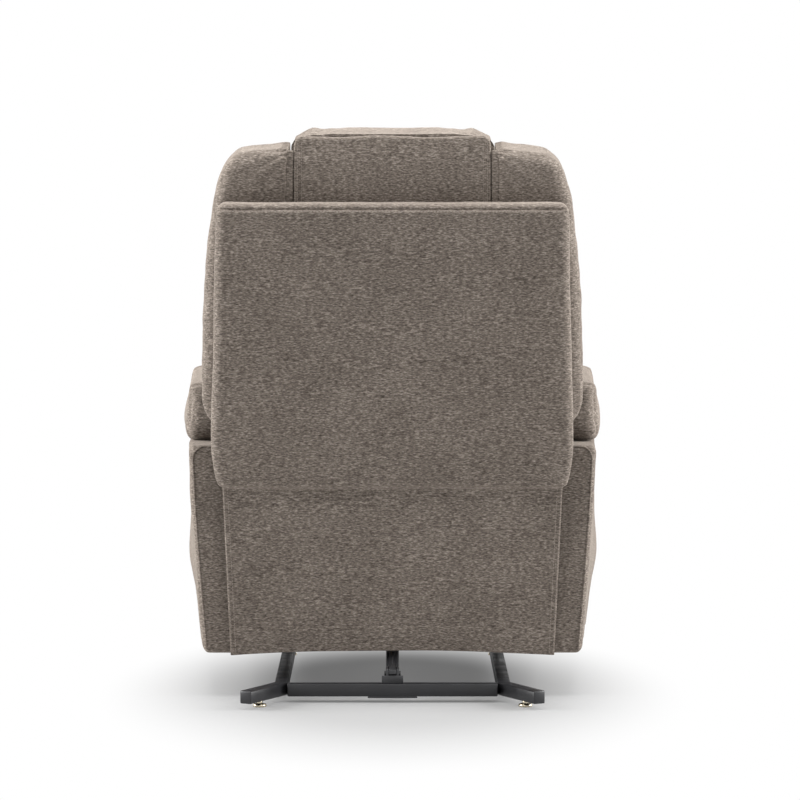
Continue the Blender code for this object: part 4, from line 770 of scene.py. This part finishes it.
stand_out(head_pillow, wrinkle + rope - pulled)
finish_cover(head_pillow)
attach(head_pillow, "back")
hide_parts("head_pillow")


FLAP_ROWS = (0.007, 0.0155)     # its two rows of stitches, from each side edge
FLAP_SEAM_DEPTH, FLAP_SEAM_WIDTH = 0.0016, 0.0022
FLAP_CORNER = 0.011


def flap_form(points, share):
    x, d, h = points.T
    seams = sum(crease(np.abs(x) - (FLAP_HALF - inset), FLAP_SEAM_WIDTH) for inset in FLAP_ROWS)
    rearward, upward = np.clip(share[:, 1], 0, 1), np.clip(share[:, 2], 0, 1)
    wavy = 0.0016 * np.sin(x * 33.0 + 1.0) * upward
    pull = 0.0012 * np.sin(h * 170.0) * crease(np.abs(x) - FLAP_HALF + 0.028, width=0.012) * rearward
    corner = FLAP_CORNER * (np.clip(np.abs(share[:, 0]) - 0.91, 0, None) / 0.09) ** 2 * upward
    d = d - FLAP_SEAM_DEPTH * seams * rearward + pull - 0.0005 - leaning_in(h)
    return np.column_stack((x, d, h + wavy - corner))


flap_cuts = [side * (FLAP_HALF - inset) for side in (-1, 1)
             for inset in (0.0035, 0.0055, 0.0085, 0.0115, 0.0140, 0.0170)]
flap = cover("head_pillow_flap_cover", (-FLAP_HALF, BACK_FRONT - FLAP_CLOTH, FLAP_LOW),
             (FLAP_HALF, BACK_FRONT, FLAP_TOP), counts=(34, 1, 16), corner=0.0055, material=taupe,
             form=flap_form, extra=(flap_cuts, (), ()), leans=True)
finish_cover(flap)
swell(flap, wave=0.06, depth=0.0012, seed=21)
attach(flap, "back")
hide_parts("head_pillow_flap")
row_heights = np.linspace(FLAP_LOW, FLAP_TOP - 0.006, 40)
flap_rows = [leaned([(side * (FLAP_HALF - inset), BACK_FRONT + 0.01, h) for h in row_heights])
             for side in (-1, 1) for inset in FLAP_ROWS]
sew("head_pillow_flap_stitches", laid_on(flap, flap_rows, lift=0.0002, toward=BEHIND), "back")


def welt(name, lines, radius, owner):
    """Piping: a cord in a bias strip of the cover's cloth, sewn into a seam."""
    curve = bpy.data.curves.new(name, "CURVE")
    curve.dimensions = "3D"
    curve.bevel_depth = radius
    curve.bevel_resolution = 2
    curve.use_fill_caps = True
    for line in lines:
        spline = curve.splines.new("POLY")
        spline.points.add(len(line) - 1)
        for point, place in zip(spline.points, line):
            point.co = (*place, 1.0)
    piece = settled(put(name, curve), name)
    face_outward(piece.data, weld=0.00002)
    piece.data.materials.clear()
    piece.data.materials.append(taupe)
    piece.data.shade_smooth()
    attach(piece, owner)


WELT_HALF = HEAD_HALF - 0.012
head_line = leaned([(x, HEAD_REAR, HEAD_WELT) for x in np.linspace(-WELT_HALF, WELT_HALF, 90)])
head_line = laid_on(head_pillow, [head_line], lift=0.0008, toward=(0.0, 1.0, 0.9))
welt("head_pillow_welt", head_line, radius=0.0024, owner="back")


# ---------------- wing gussets and laps
# A narrow padded strip of the cover's cloth is sewn in between each wing and the head pillow,
# low down, and the wing's own cloth laps in behind the pillow as far as the edge of the flap.
def lap_form(points, share):
    return np.column_stack((points[:, 0], points[:, 1] - leaning_in(points[:, 2]), points[:, 2]))


GUSSET_IN, GUSSET_OUT = HEAD_HALF - 0.014, WING_TIGHT - 0.0004
GUSSET_Y, GUSSET_H = (0.020, 0.088), (0.568, 0.650)
LAP_IN, LAP_OUT = FLAP_HALF + 0.0010, WING_TIGHT + 0.0060
LAP_Y, LAP_H = (0.0920, 0.1034), (0.566, 0.6950)
for label, side in SIDES:
    strip, strip_panels = skin(sorted((side * GUSSET_IN, side * GUSSET_OUT)), np.linspace(*GUSSET_Y, 6),
                               np.linspace(*GUSSET_H, 6))
    gusset = make_piece(f"wing_gusset_{label}", leaned(strip), strip_panels, taupe)
    lap = cover(f"wing_lap_{label}", (side * LAP_IN, LAP_Y[0], LAP_H[0]),
                (side * LAP_OUT, LAP_Y[1], LAP_H[1]), counts=(2, 1, 16), corner=0.0036, material=taupe,
                form=lap_form, leans=True)
    finish_cover(lap)
    for piece in (gusset, lap):
        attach(piece, "back")


# ---------------- middle and lumbar pillows
# Two fibre pillows that hang one over the other down the front of the back, crowned in front
# and pulled in along their long seams.
PILLOW_HALF, PILLOW_REAR = 0.2045, 0.0823
PILLOW_PUCKER, SHIRRING = 0.0022, 0.0014        # depths of the folds at its ends and at its long seams
for name, low, high, front, crown in (("middle_pillow", 0.345, 0.562, -0.088, 0.016),
                                      ("lumbar_pillow", 0.130, 0.3447, -0.092, 0.018)):
    def pillow_form(points, share, crown=crown):
        x, d, h = points.T
        swollen = crown * (1 - share[:, 0] ** 2) * (1 - share[:, 2] ** 2) * np.clip(-share[:, 1], 0, None)
        inward = 0.004 * (1 - share[:, 0] ** 2) * (np.abs(share[:, 2]) > 0.98)
        return np.column_stack((x, d - swollen, h - np.copysign(inward, share[:, 2])))

    pillow = cover(f"{name}_cover", (-PILLOW_HALF + 0.004, front + 0.008, low + 0.004),
                   (PILLOW_HALF - 0.004, PILLOW_REAR, high - 0.004), counts=(26, 10, 14), corner=0.034,
                   material=taupe, form=pillow_form, leans=True)
    stuff(pillow, facet=0.0065, cap=0.022, held=lambda points: unleaned(points)[:, 1] > PILLOW_REAR - 0.006)
    fill_out(pillow, (-PILLOW_HALF, front - crown, low), (PILLOW_HALF, PILLOW_REAR, high), leans=True)
    points = unleaned(coordinates(pillow))
    points[:, 0] = square_ends(points[:, 0], PILLOW_HALF)
    set_coordinates(pillow, leaned(points))
    x, d, h = points.T
    ends = np.exp(-np.abs(np.abs(x) - PILLOW_HALF) / 0.045)
    puckers = PILLOW_PUCKER * ends * np.sin(h * 150.0 + np.abs(x) * 30.0) * (d < 0.03)
    shirring = SHIRRING * np.sin(x * 85.0) * (crease(h - low, width=0.030) + crease(h - high, width=0.030))
    stand_out(pillow, puckers + shirring)
    finish_cover(pillow)
    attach(pillow, "back")
    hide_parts(name)


# ---------------- lower back pad
# A low padded board across the foot of the backrest. It closes the view under the lumbar
# pillow and under the wings, and moves with the back.
PAD_HALF, PAD_STEP = 0.2585, 0.2055
PAD_LOW, PAD_TOP, PAD_UNDER_WING = 0.030, 0.1288, 0.1480
PAD_FRONT, PAD_REAR = -0.012, 0.0810
PAD_OUTLINE = ((PAD_STEP - 0.002, PAD_TOP), (PAD_STEP + 0.003, PAD_UNDER_WING))


def lower_pad_form(points, share):
    x, d, h = points.T
    up = (h - PAD_LOW) / (PAD_TOP - PAD_LOW)
    top = along_table(np.abs(x), PAD_OUTLINE)
    return np.column_stack((x, d, PAD_LOW + up * (top - PAD_LOW)))


step_cuts = [side * (PAD_STEP + offset) for side in (-1, 1) for offset in (-0.003, 0.0, 0.004)]
lower_pad = cover("lower_back_pad", (-PAD_HALF, PAD_FRONT, PAD_LOW), (PAD_HALF, PAD_REAR, PAD_TOP),
                  counts=(28, 4, 5), corner=0.012, material=taupe, form=lower_pad_form,
                  extra=(step_cuts, (), ()), leans=True)
finish_cover(lower_pad)
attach(lower_pad, "back")


# ---------------- seat cushion
# One thick foam cushion in a fibre wrap, sewn through behind its front roll, which hangs over
# the front rail. Its sides are pulled in between the arms.
SEAT_HALF = 0.2614
SEAT_FRONT, SEAT_REAR = -0.462, 0.150
DECK, SEAT_TOP, SEAT_ROLL = 0.3745, 0.500, 0.358
SEAT_CHANNEL, CHANNEL_DEPTH, CHANNEL_WIDTH = -0.350, 0.0100, 0.0110
SEAT_CROWN, ROLL_DROP = 0.014, 0.018
RAIL_REAR, RAIL_FRONT = -0.4203, -0.432     # the roll hangs over the front rail's edge between these


def seat_form(points, share):
    x, y, z = points.T
    above, below = np.clip(share[:, 2], 0, None), np.clip(-share[:, 2], 0, None)
    crown = SEAT_CROWN * (1 - share[:, 0] ** 2) * (1 - share[:, 1] ** 2)
    front = np.clip((SEAT_CHANNEL - y) / (SEAT_CHANNEL - SEAT_FRONT), 0, None)
    drop = (DECK - SEAT_ROLL) * np.clip((RAIL_REAR - y) / (RAIL_REAR - RAIL_FRONT), 0, 1)
    return np.column_stack((x, y, z + above * (crown - ROLL_DROP * front ** 2) - below * drop))


seat = cover("seat_cushion_cover", (-SEAT_HALF + 0.003, SEAT_FRONT + 0.006, DECK),
             (SEAT_HALF - 0.003, SEAT_REAR - 0.003, SEAT_TOP - 0.004), counts=(30, 34, 6), corner=0.036,
             material=taupe, form=seat_form, extra=((), (RAIL_REAR, RAIL_FRONT), ()))
stuff(seat, facet=0.0070, cap=0.022, held=lambda points: points[:, 2] < DECK + 0.006)
fill_out(seat, (-SEAT_HALF, SEAT_FRONT, SEAT_ROLL), (SEAT_HALF, SEAT_REAR, SEAT_TOP + 0.020))
points = coordinates(seat)
x, y, z = points.T
points[:, 2] = np.maximum(z, np.where(y > RAIL_REAR, DECK, SEAT_ROLL))
on_top = np.clip((z - 0.455) / 0.02, 0, 1)
channel = CHANNEL_DEPTH * crease(y - SEAT_CHANNEL, CHANNEL_WIDTH) * on_top
tucks = 0.0016 * np.sin(x * 88.0) * crease(y - SEAT_CHANNEL, width=0.030) * on_top
sides = 0.0018 * np.sin(y * 70.0) * np.exp(-np.abs(np.abs(x) - SEAT_HALF) / 0.03) * on_top
points[:, 2] += tucks + sides - channel
set_coordinates(seat, points)
finish_cover(seat)
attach(seat, "chair")
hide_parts("seat_cushion")
ROW_HALF, ABOVE_SEAT = SEAT_HALF - 0.02, 0.55
channel_row = [(x, SEAT_CHANNEL, ABOVE_SEAT) for x in np.linspace(-ROW_HALF, ROW_HALF, 100)]
sew("seat_channel_stitches", laid_on(seat, [channel_row], lift=0.0003, toward=(0, 0, 1)), "chair")


# ---------------- arm pads
# A soft padded cap on each arm, with its own front and rear panels let in under a seam. It
# stands proud of the side panel below it, which leaves a dark line there.
ARM_INNER, ARM_OUTER = 0.262, 0.4385
ARM_LOW, ARM_TOP = 0.500, 0.630
ARM_FRONT, ARM_REAR = -0.458, 0.190
ARM_TAPER_TOP, ARM_TAPER = 0.022, 0.017     # it narrows to the rear, and more so at its top
ARM_SLOPE, ARM_NOSE = 0.005, 0.008          # how far its top falls outward, and at its front
ARM_SEAM, ARM_SEAM_DEPTH, ARM_SEAM_WIDTH = 0.020, 0.0030, 0.0055      # the seams round its two end panels


def arm_form(side):
    def form(points, share):
        x, y, z = np.abs(points[:, 0]), points[:, 1], points[:, 2]
        up = (z - ARM_LOW) / (ARM_TOP - ARM_LOW)
        across = (x - ARM_INNER) / (ARM_OUTER - ARM_INNER)
        rear = (1 + share[:, 1]) / 2
        outward = np.clip(side * share[:, 0], 0, None)
        x = x - across * rear * (ARM_TAPER_TOP * up + ARM_TAPER * rear)
        ahead = np.clip(-share[:, 1] - 0.6, 0, None) / 0.4
        z = z - up * (ARM_SLOPE * share[:, 0] ** 2 * outward + ARM_NOSE * ahead ** 2)
        return np.column_stack((side * x, y, z))
    return form


for label, side in SIDES:
    arm = cover(f"arm_pad_cover_{label}", (side * (ARM_INNER + 0.002), ARM_FRONT + 0.004, ARM_LOW),
                (side * (ARM_OUTER - 0.004), ARM_REAR - 0.003, ARM_TOP - 0.005), counts=(10, 34, 8),
                corner=0.027, material=taupe, form=arm_form(side))
    stuff(arm, facet=0.0060, cap=0.014, held=lambda points: points[:, 2] < ARM_LOW + 0.008)
    fill_out(arm, (side * ARM_INNER, ARM_FRONT, ARM_LOW), (side * ARM_OUTER, ARM_REAR, ARM_TOP))
    points = coordinates(arm)
    out, y, z = side * points[:, 0], points[:, 1], points[:, 2]
    # The seam along its upper outer edge keeps that corner firm.
    beside, below = crest(y, out) - out, crest(y, z) - z
    near_top, near_side = crease(below, width=0.050), crease(beside, width=0.050)
    points[:, 0] = side * (out + beside - tighter(beside, share=0.75 * near_top, reach=0.035))
    points[:, 2] = z + below - tighter(below, share=0.75 * near_side, reach=0.035)
    set_coordinates(arm, points)
    x, y, z = points.T
    from_end = np.minimum(np.abs(y - ARM_FRONT), np.abs(y - ARM_REAR))
    from_seam = np.minimum(np.abs(y - ARM_FRONT - ARM_SEAM), np.abs(y - ARM_REAR + ARM_SEAM))
    gathers = 0.0011 * np.exp(-from_end / 0.040) * np.sin(np.abs(x) * 190.0 + z * 60.0)
    gathers = gathers * np.clip((z - ARM_LOW - 0.02) / 0.03, 0, 1)
    pulled = ARM_SEAM_DEPTH * crease(from_seam, ARM_SEAM_WIDTH)
    stand_out(arm, gathers - pulled + drift(points, wave=0.08, depth=0.0018, seed=30 + side))
    finish_cover(arm)
    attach(arm, "chair")
    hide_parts(f"arm_pad_{label}")


# ---------------- side panels
# Each arm's lower half is a plywood box wrapped in thin foam and cloth. The cloth of its outer
# side and of its rear end meet in an upright welt near the rear corner.
SIDE_INNER, SIDE_WIDE, SIDE_NARROW = 0.265, 0.426, 0.402
SIDE_LOW, SIDE_HIGH = 0.087, 0.4997
SIDE_FRONT, SIDE_REAR = -0.445, 0.295


def rear_edge(z):
    """Half the chair's width across its rear ends, which draw in from the top down."""
    return SIDE_NARROW - 0.028 * ((ARM_LOW - z) / (ARM_LOW - SIDE_LOW)) ** 1.3


def side_form(side):
    def form(points, share):
        x, y, z = np.abs(points[:, 0]), points[:, 1], points[:, 2]
        forward = np.minimum(1.0, (SIDE_REAR - y) / (SIDE_REAR - SIDE_FRONT) / 0.7)
        down = (ARM_LOW - z) / (ARM_LOW - SIDE_LOW)
        front = SIDE_WIDE - 0.018 * (np.clip(down - 0.45, 0, None) / 0.55) ** 2
        outer = rear_edge(z) + (front - rear_edge(z)) * forward
        across = (x - SIDE_INNER) / (SIDE_WIDE - SIDE_INNER)
        x = SIDE_INNER + across * (outer - SIDE_INNER)
        return np.column_stack((side * x, y, z))
    return form


PANEL_Y, PANEL_Z = (-0.360, -0.230), (0.400, 0.445)     # the control panel, let into the right side
POCKET_X = (-0.46, -0.4137)
SEAM_INSET, SEAM_TURN = 0.008, 0.022     # the rear seam: from the edges, and its radius at the top
for label, side in SIDES:
    panel = cover(f"side_panel_cover_{label}", (side * SIDE_INNER, SIDE_FRONT, SIDE_LOW),
                  (side * SIDE_WIDE, SIDE_REAR, SIDE_HIGH), counts=(10, 44, 28), corner=0.016,
                  material=taupe, form=side_form(side))
    finish_cover(panel)
    points = coordinates(panel)
    x, y, z = points.T
    outward = np.clip((np.abs(x) - 0.36) / 0.02, 0, 1)
    # Round the control panel's pocket the cloth is held flat.
    near_panel = (np.abs(y - sum(PANEL_Y) / 2) < 0.085) & (np.abs(z - sum(PANEL_Z) / 2) < 0.045) & (side < 0)
    swollen = drift(points, wave=0.12, depth=0.0030, seed=40 + side)
    swollen = np.where(near_panel, 0.0, swollen + drift(points, wave=0.04, depth=0.0008, seed=50 + side))
    belly = 0.0070 * crease(y + 0.20, width=0.16) * crease(z - 0.235, width=0.055)
    foot = 0.0007 * np.sin(y * 55.0) * crease(z - SIDE_LOW, width=0.035)
    stand_out(panel, (swollen + belly + foot) * outward)
    if side < 0:
        slack = np.array((-0.0006, 0.0006))     # the pocket is this much larger than the control panel
        pocket = make_piece("pocket_tool", *skin(POCKET_X, PANEL_Y + slack, PANEL_Z + slack), taupe)
        cut = panel.modifiers.new("pocket", "BOOLEAN")
        cut.object = pocket
        cut.operation = "DIFFERENCE"
        finish_cover(panel, 0)
        bpy.data.objects.remove(pocket, do_unlink=True)
        panel.data.set_sharp_from_angle(angle=math.radians(50))
    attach(panel, "chair")
    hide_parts(f"side_panel_{label}")
    top, knee = SIDE_HIGH - 0.003, SIDE_HIGH - 0.003 - SEAM_TURN
    out, behind = rear_edge(knee) - SEAM_INSET, SIDE_REAR + 0.02
    turn = [(out - SEAM_TURN + math.sin(a) * SEAM_TURN, knee + math.cos(a) * SEAM_TURN)
            for a in np.linspace(0, math.pi / 2, 9)]
    level = [(x, top) for x in np.linspace(SIDE_INNER + 0.01, out - SEAM_TURN, 12)[:-1]]
    upright = [(rear_edge(z) - SEAM_INSET, z) for z in np.linspace(knee, SIDE_LOW + 0.008, 60)[1:]]
    seam = [(side * x, behind, z) for x, z in level + turn + upright]
    seam = laid_on(panel, [seam], lift=0.0004, toward=(0, 1, 0))
    welt(f"side_panel_welt_{label}", seam, radius=0.0022, owner="chair")


# ---------------- footrest pad
# A thin foam pad in the same cloth, stapled to the footrest board behind it.
FOOT_HALF = 0.255
FOOT_LOW, FOOT_HIGH = 0.085, 0.328
FOOT_FRONT, FOOT_BACK = -0.470, -0.4253


def foot_form(points, share):
    x, y, z = points.T
    inward = 0.003 * (1 - share[:, 0] ** 2) * (np.abs(share[:, 2]) > 0.98)
    return np.column_stack((x, y, z - np.copysign(inward, share[:, 2])))


foot_pad = cover("footrest_pad_cover", (-FOOT_HALF + 0.003, FOOT_FRONT + 0.007, FOOT_LOW + 0.003),
                 (FOOT_HALF - 0.003, FOOT_BACK, FOOT_HIGH - 0.003), counts=(30, 4, 14), corner=0.017,
                 material=taupe, form=foot_form)
stuff(foot_pad, facet=0.0065, cap=0.014, held=lambda points: points[:, 1] > FOOT_BACK - 0.006)
fill_out(foot_pad, (-FOOT_HALF, FOOT_FRONT, FOOT_LOW), (FOOT_HALF, FOOT_BACK, FOOT_HIGH))
x, y, z = coordinates(foot_pad).T
rim = np.exp(-np.minimum(FOOT_HALF - np.abs(x), np.minimum(z - FOOT_LOW, FOOT_HIGH - z)) / 0.025)
stand_out(foot_pad, 0.0012 * rim * np.sin((np.abs(x) + z) * 140.0) * (y < FOOT_BACK - 0.01))
finish_cover(foot_pad)
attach(foot_pad, "footrest")
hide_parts("footrest_pad")


# ---------------- steel of the base and the mechanism
# Square tube and flat plate, welded and powder-coated in satin black. The coat softens every
# edge and has a fine orange-peel skin.
coat, tree, shader, place = new_material("satin black powder coat on steel")
# Orange peel of 1.2 mm, and dust and rubbing in patches of a few centimetres.
peel = add(tree, "TexNoise", {"Vector": place, "Scale": 830.0, "Detail": 1.0})
worn = add(tree, "TexNoise", {"Vector": place, "Scale": 28.0, "Detail": 4.0})
colour = add(tree, "Mix", {0: worn.outputs[0], 6: paint("#151517"), 7: paint("#262629")}, data_type="RGBA")
rough = add(tree, "MapRange", {0: worn.outputs[0], 1: 0.3, 2: 0.7, 3: 0.34, 4: 0.50})
bump = add(tree, "Bump", {"Strength": 0.25, "Distance": 0.0002, "Height": peel.outputs[0]})
feed(tree, shader, {"Base Color": colour.outputs[2], "Roughness": rough.outputs[0],
                    "Normal": bump.outputs[0]})


def dress(node, material, edge=0.0006, sharp=35.0):
    """Rebuilds a machined piece with its edges broken and its rounds shaded smooth."""
    source = frame["nodes"][node]
    bm = bmesh.new()
    bm.from_mesh(source.data)
    bmesh.ops.remove_doubles(bm, verts=bm.verts, dist=0.00002)
    bmesh.ops.dissolve_limit(bm, angle_limit=math.radians(0.5), verts=bm.verts, edges=bm.edges)
    mesh = bpy.data.meshes.new(f"{node}_finished")
    bm.to_mesh(mesh)
    bm.free()
    mesh.materials.append(material)
    piece = put(f"{node}_finished", mesh)
    mesh.shade_smooth()
    mesh.set_sharp_from_angle(angle=math.radians(sharp))
    if edge:
        rounding = piece.modifiers.new("broken edges", "BEVEL")
        rounding.width = edge
        rounding.segments = 2
        rounding.limit_method = "ANGLE"
        rounding.angle_limit = math.radians(sharp)
        rounding.harden_normals = True
    finish = settled(piece, f"{node}_finished")
    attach(finish, source["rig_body"])
    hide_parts(node)
    return finish


for node in ("floor_rail_left", "floor_rail_right", "rear_crossbar", "front_crossbar", "pivot_bracket_left",
             "pivot_bracket_right", "lift_arm_left", "lift_arm_right", "lift_crank_shaft", "front_link_left",
             "front_link_right", "lift_plate_left", "lift_plate_right", "actuator_cross_tube",
             "footrest_motor_clevis", "back_frame", "back_hinge_left", "back_hinge_right",
             "footrest_torque_tube", "lift_actuator_rod"):
    dress(node, coat)


# ---------------- zinc-plated bars, rods and springs
# Bright zinc over mild steel: the footrest's flat bars, the actuators' rods and the seat
# springs. The plating has a faint grain along the part and dulls in patches.
zinc, tree, shader, place = new_material("zinc-plated steel")
grain = add(tree, "Mapping", {0: place, 3: (900.0, 60.0, 60.0)})
grain = add(tree, "TexNoise", {"Vector": grain.outputs[0], "Scale": 1.0, "Detail": 2.0})
dull = add(tree, "TexNoise", {"Vector": place, "Scale": 40.0, "Detail": 3.0})
colour = add(tree, "Mix", {0: dull.outputs[0], 6: paint("#a9abae"), 7: paint("#cdcfd2")}, data_type="RGBA")
rough = add(tree, "MapRange", {0: dull.outputs[0], 1: 0.3, 2: 0.7, 3: 0.26, 4: 0.44})
bump = add(tree, "Bump", {"Strength": 0.15, "Distance": 0.0001, "Height": grain.outputs[0]})
feed(tree, shader, {"Base Color": colour.outputs[2], "Roughness": rough.outputs[0],
                    "Normal": bump.outputs[0], "Metallic": 1.0})
for node in ("footrest_arm_left", "footrest_arm_right", "footrest_link_left", "footrest_link_right",
             "recline_actuator_rod", "footrest_actuator_rod"):
    dress(node, zinc, edge=0.0004)
for node in ("seat_spring_1", "seat_spring_2", "seat_spring_3"):
    dress(node, zinc, edge=0.0, sharp=60.0)


# ---------------- clevis web
# A strip of the same black steel, welded across the rear of the two ears that hold the lift
# actuator. It stiffens them and hides the lower half of the actuator's eye.
WEB_HALF, WEB_HIGH, WEB_STEEL = 0.021, 0.016, 0.003
bar_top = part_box("front_crossbar")[1].z
web_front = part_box("rear_crossbar")[1].y - 0.0047
web = make_piece("motor_clevis_web", *skin((-WEB_HALF, WEB_HALF), (web_front, web_front + WEB_STEEL),
                                           (bar_top + 0.0002, bar_top + WEB_HIGH)), coat)
web.data.shade_flat()
rounding = web.modifiers.new("broken edges", "BEVEL")
rounding.width = 0.0006
rounding.segments = 2
rounding.harden_normals = True
finish_cover(web, 0)
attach(web, "base")


# ---------------- glides
# A domed steel disc on a short stem, screwed up into each rail and plated in warm nickel.
nickel, tree, shader, place = new_material("nickel-plated steel")
scuff = add(tree, "TexNoise", {"Vector": place, "Scale": 160.0, "Detail": 3.0})
colour = add(tree, "Mix", {0: scuff.outputs[0], 6: paint("#b9ad95"), 7: paint("#e2dac6")}, data_type="RGBA")
rough = add(tree, "MapRange", {0: scuff.outputs[0], 1: 0.3, 2: 0.7, 3: 0.16, 4: 0.32})
feed(tree, shader, {"Base Color": colour.outputs[2], "Roughness": rough.outputs[0], "Metallic": 1.0})

GLIDE_TOP = 0.0117
# Radius and height from the top of the stem down to the dome.
GLIDE_PROFILE = ((0.0, GLIDE_TOP), (0.0055, GLIDE_TOP), (0.0058, 0.0112), (0.0058, 0.0072), (0.0064, 0.0067),
                 (0.0098, 0.0063), (0.0122, 0.0053), (0.0133, 0.0040), (0.0136, 0.0026), (0.0133, 0.0010),
                 (0.0122, 0.0), (0.0, 0.0))


def turn_piece(name, profile, centre, axis, steps, material):
    """A piece turned about an axis through its centre. profile holds the places down one side."""
    bm = bmesh.new()
    rim = [bm.verts.new(place) for place in profile]
    for first, second in zip(rim, rim[1:]):
        bm.edges.new((first, second))
    bmesh.ops.spin(bm, geom=bm.verts[:] + bm.edges[:], cent=centre, axis=axis, angle=math.tau, steps=steps,
                   use_duplicate=False)
    mesh = bpy.data.meshes.new(name)
    bm.to_mesh(mesh)
    bm.free()
    face_outward(mesh, weld=0.00001)
    mesh.materials.append(material)
    mesh.shade_smooth()
    mesh.set_sharp_from_angle(angle=math.radians(40))
    return put(name, mesh)


for node in ("glide_rear_left", "glide_rear_right", "glide_front_left", "glide_front_right"):
    centre = sum(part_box(node), Vector()) / 2
    profile = [(centre.x + radius, centre.y, z) for radius, z in GLIDE_PROFILE]
    glide = turn_piece(f"{node}_turned", profile, (centre.x, centre.y, 0.0), (0, 0, 1), 48, nickel)
    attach(glide, "base")
    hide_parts(node)


# ---------------- plywood rails
# Twelve-millimetre birch plywood, sawn and left raw: pale faces with long grain along the
# board and the darker lines of its plies.
ply, tree, shader, place = new_material("raw birch plywood")
long = add(tree, "Mapping", {0: place, 3: (4.0, 160.0, 160.0)})
grain = add(tree, "TexNoise", {"Vector": long.outputs[0], "Scale": 1.0, "Detail": 4.0})
plies = add(tree, "TexWave", {"Vector": place, "Scale": 110.0, "Distortion": 0.4},
            bands_direction="Y")
colour = add(tree, "Mix", {0: grain.outputs[0], 6: paint("#a97f4f"), 7: paint("#d6b384")}, data_type="RGBA")
shade = add(tree, "MapRange", {0: plies.outputs[0], 1: 0.0, 2: 0.25, 3: 0.35, 4: 0.0})
colour = add(tree, "Mix", {0: shade.outputs[0], 6: colour.outputs[2], 7: paint("#7d5a35")}, data_type="RGBA")
bump = add(tree, "Bump", {"Strength": 0.3, "Distance": 0.0003, "Height": grain.outputs[0]})
feed(tree, shader, {"Base Color": colour.outputs[2], "Normal": bump.outputs[0], "Roughness": 0.72})
for node in ("rear_rail", "skirt_rail"):
    dress(node, ply, edge=0.0008)


# ---------------- covered front rail and footrest board
# These two boards show when the footrest is out, so each is wrapped in the chair's cloth, which
# rounds its edges.
for node in ("front_rail", "footrest_board"):
    dress(node, taupe, edge=0.0024)


# ---------------- actuators, control box and panel
# Black ABS mouldings with a fine spark-eroded grain.
abs_black, tree, shader, place = new_material("black moulded ABS")
grain = add(tree, "TexVoronoi", {"Vector": place, "Scale": 1100.0})
tone = add(tree, "TexNoise", {"Vector": place, "Scale": 20.0, "Detail": 2.0})
colour = add(tree, "Mix", {0: tone.outputs[0], 6: paint("#1d1d1f"), 7: paint("#2a2a2c")}, data_type="RGBA")
bump = add(tree, "Bump", {"Strength": 0.2, "Distance": 0.0002, "Height": grain.outputs[0]})
feed(tree, shader, {"Base Color": colour.outputs[2], "Normal": bump.outputs[0], "Roughness": 0.48})
for node in ("lift_actuator_housing", "recline_actuator_housing", "footrest_actuator_housing", "control_box",
             "control_panel"):
    dress(node, abs_black, edge=0.0010)


# ---------------- buttons
# Four round push buttons in grey ABS, each with a shallow dish for the fingertip.
abs_grey, tree, shader, place = new_material("grey moulded ABS")
tone = add(tree, "TexNoise", {"Vector": place, "Scale": 90.0, "Detail": 2.0})
colour = add(tree, "Mix", {0: tone.outputs[0], 6: paint("#8b8b8e"), 7: paint("#a3a3a6")}, data_type="RGBA")
feed(tree, shader, {"Base Color": colour.outputs[2], "Roughness": 0.42})
BUTTON_RADIUS = 0.009
BUTTON_EDGE = ((0.0008, 0.0), (0.0002, 0.0003), (0.0, 0.0010), (0.0003, 0.0020))    # depth, distance in
DISH_RADIUS, DISH_DEPTH = BUTTON_RADIUS * 0.4, 0.0010
for node in ("raise_button", "lower_button", "recline_button", "sit_up_button"):
    low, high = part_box(node)
    centre = (low + high) / 2
    half_profile = [(high.x, 0.0), (high.x, BUTTON_RADIUS)]
    half_profile += [(low.x + depth, BUTTON_RADIUS - inset) for depth, inset in BUTTON_EDGE]
    half_profile += [(low.x + DISH_DEPTH, DISH_RADIUS), (low.x + DISH_DEPTH + 0.0001, 0.0)]
    profile = [(x, centre.y, centre.z + radius) for x, radius in half_profile]
    button = turn_piece(f"{node}_moulded", profile, centre, (1, 0, 0), 40, abs_grey)
    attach(button, frame["nodes"][node]["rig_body"])
    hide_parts(node)
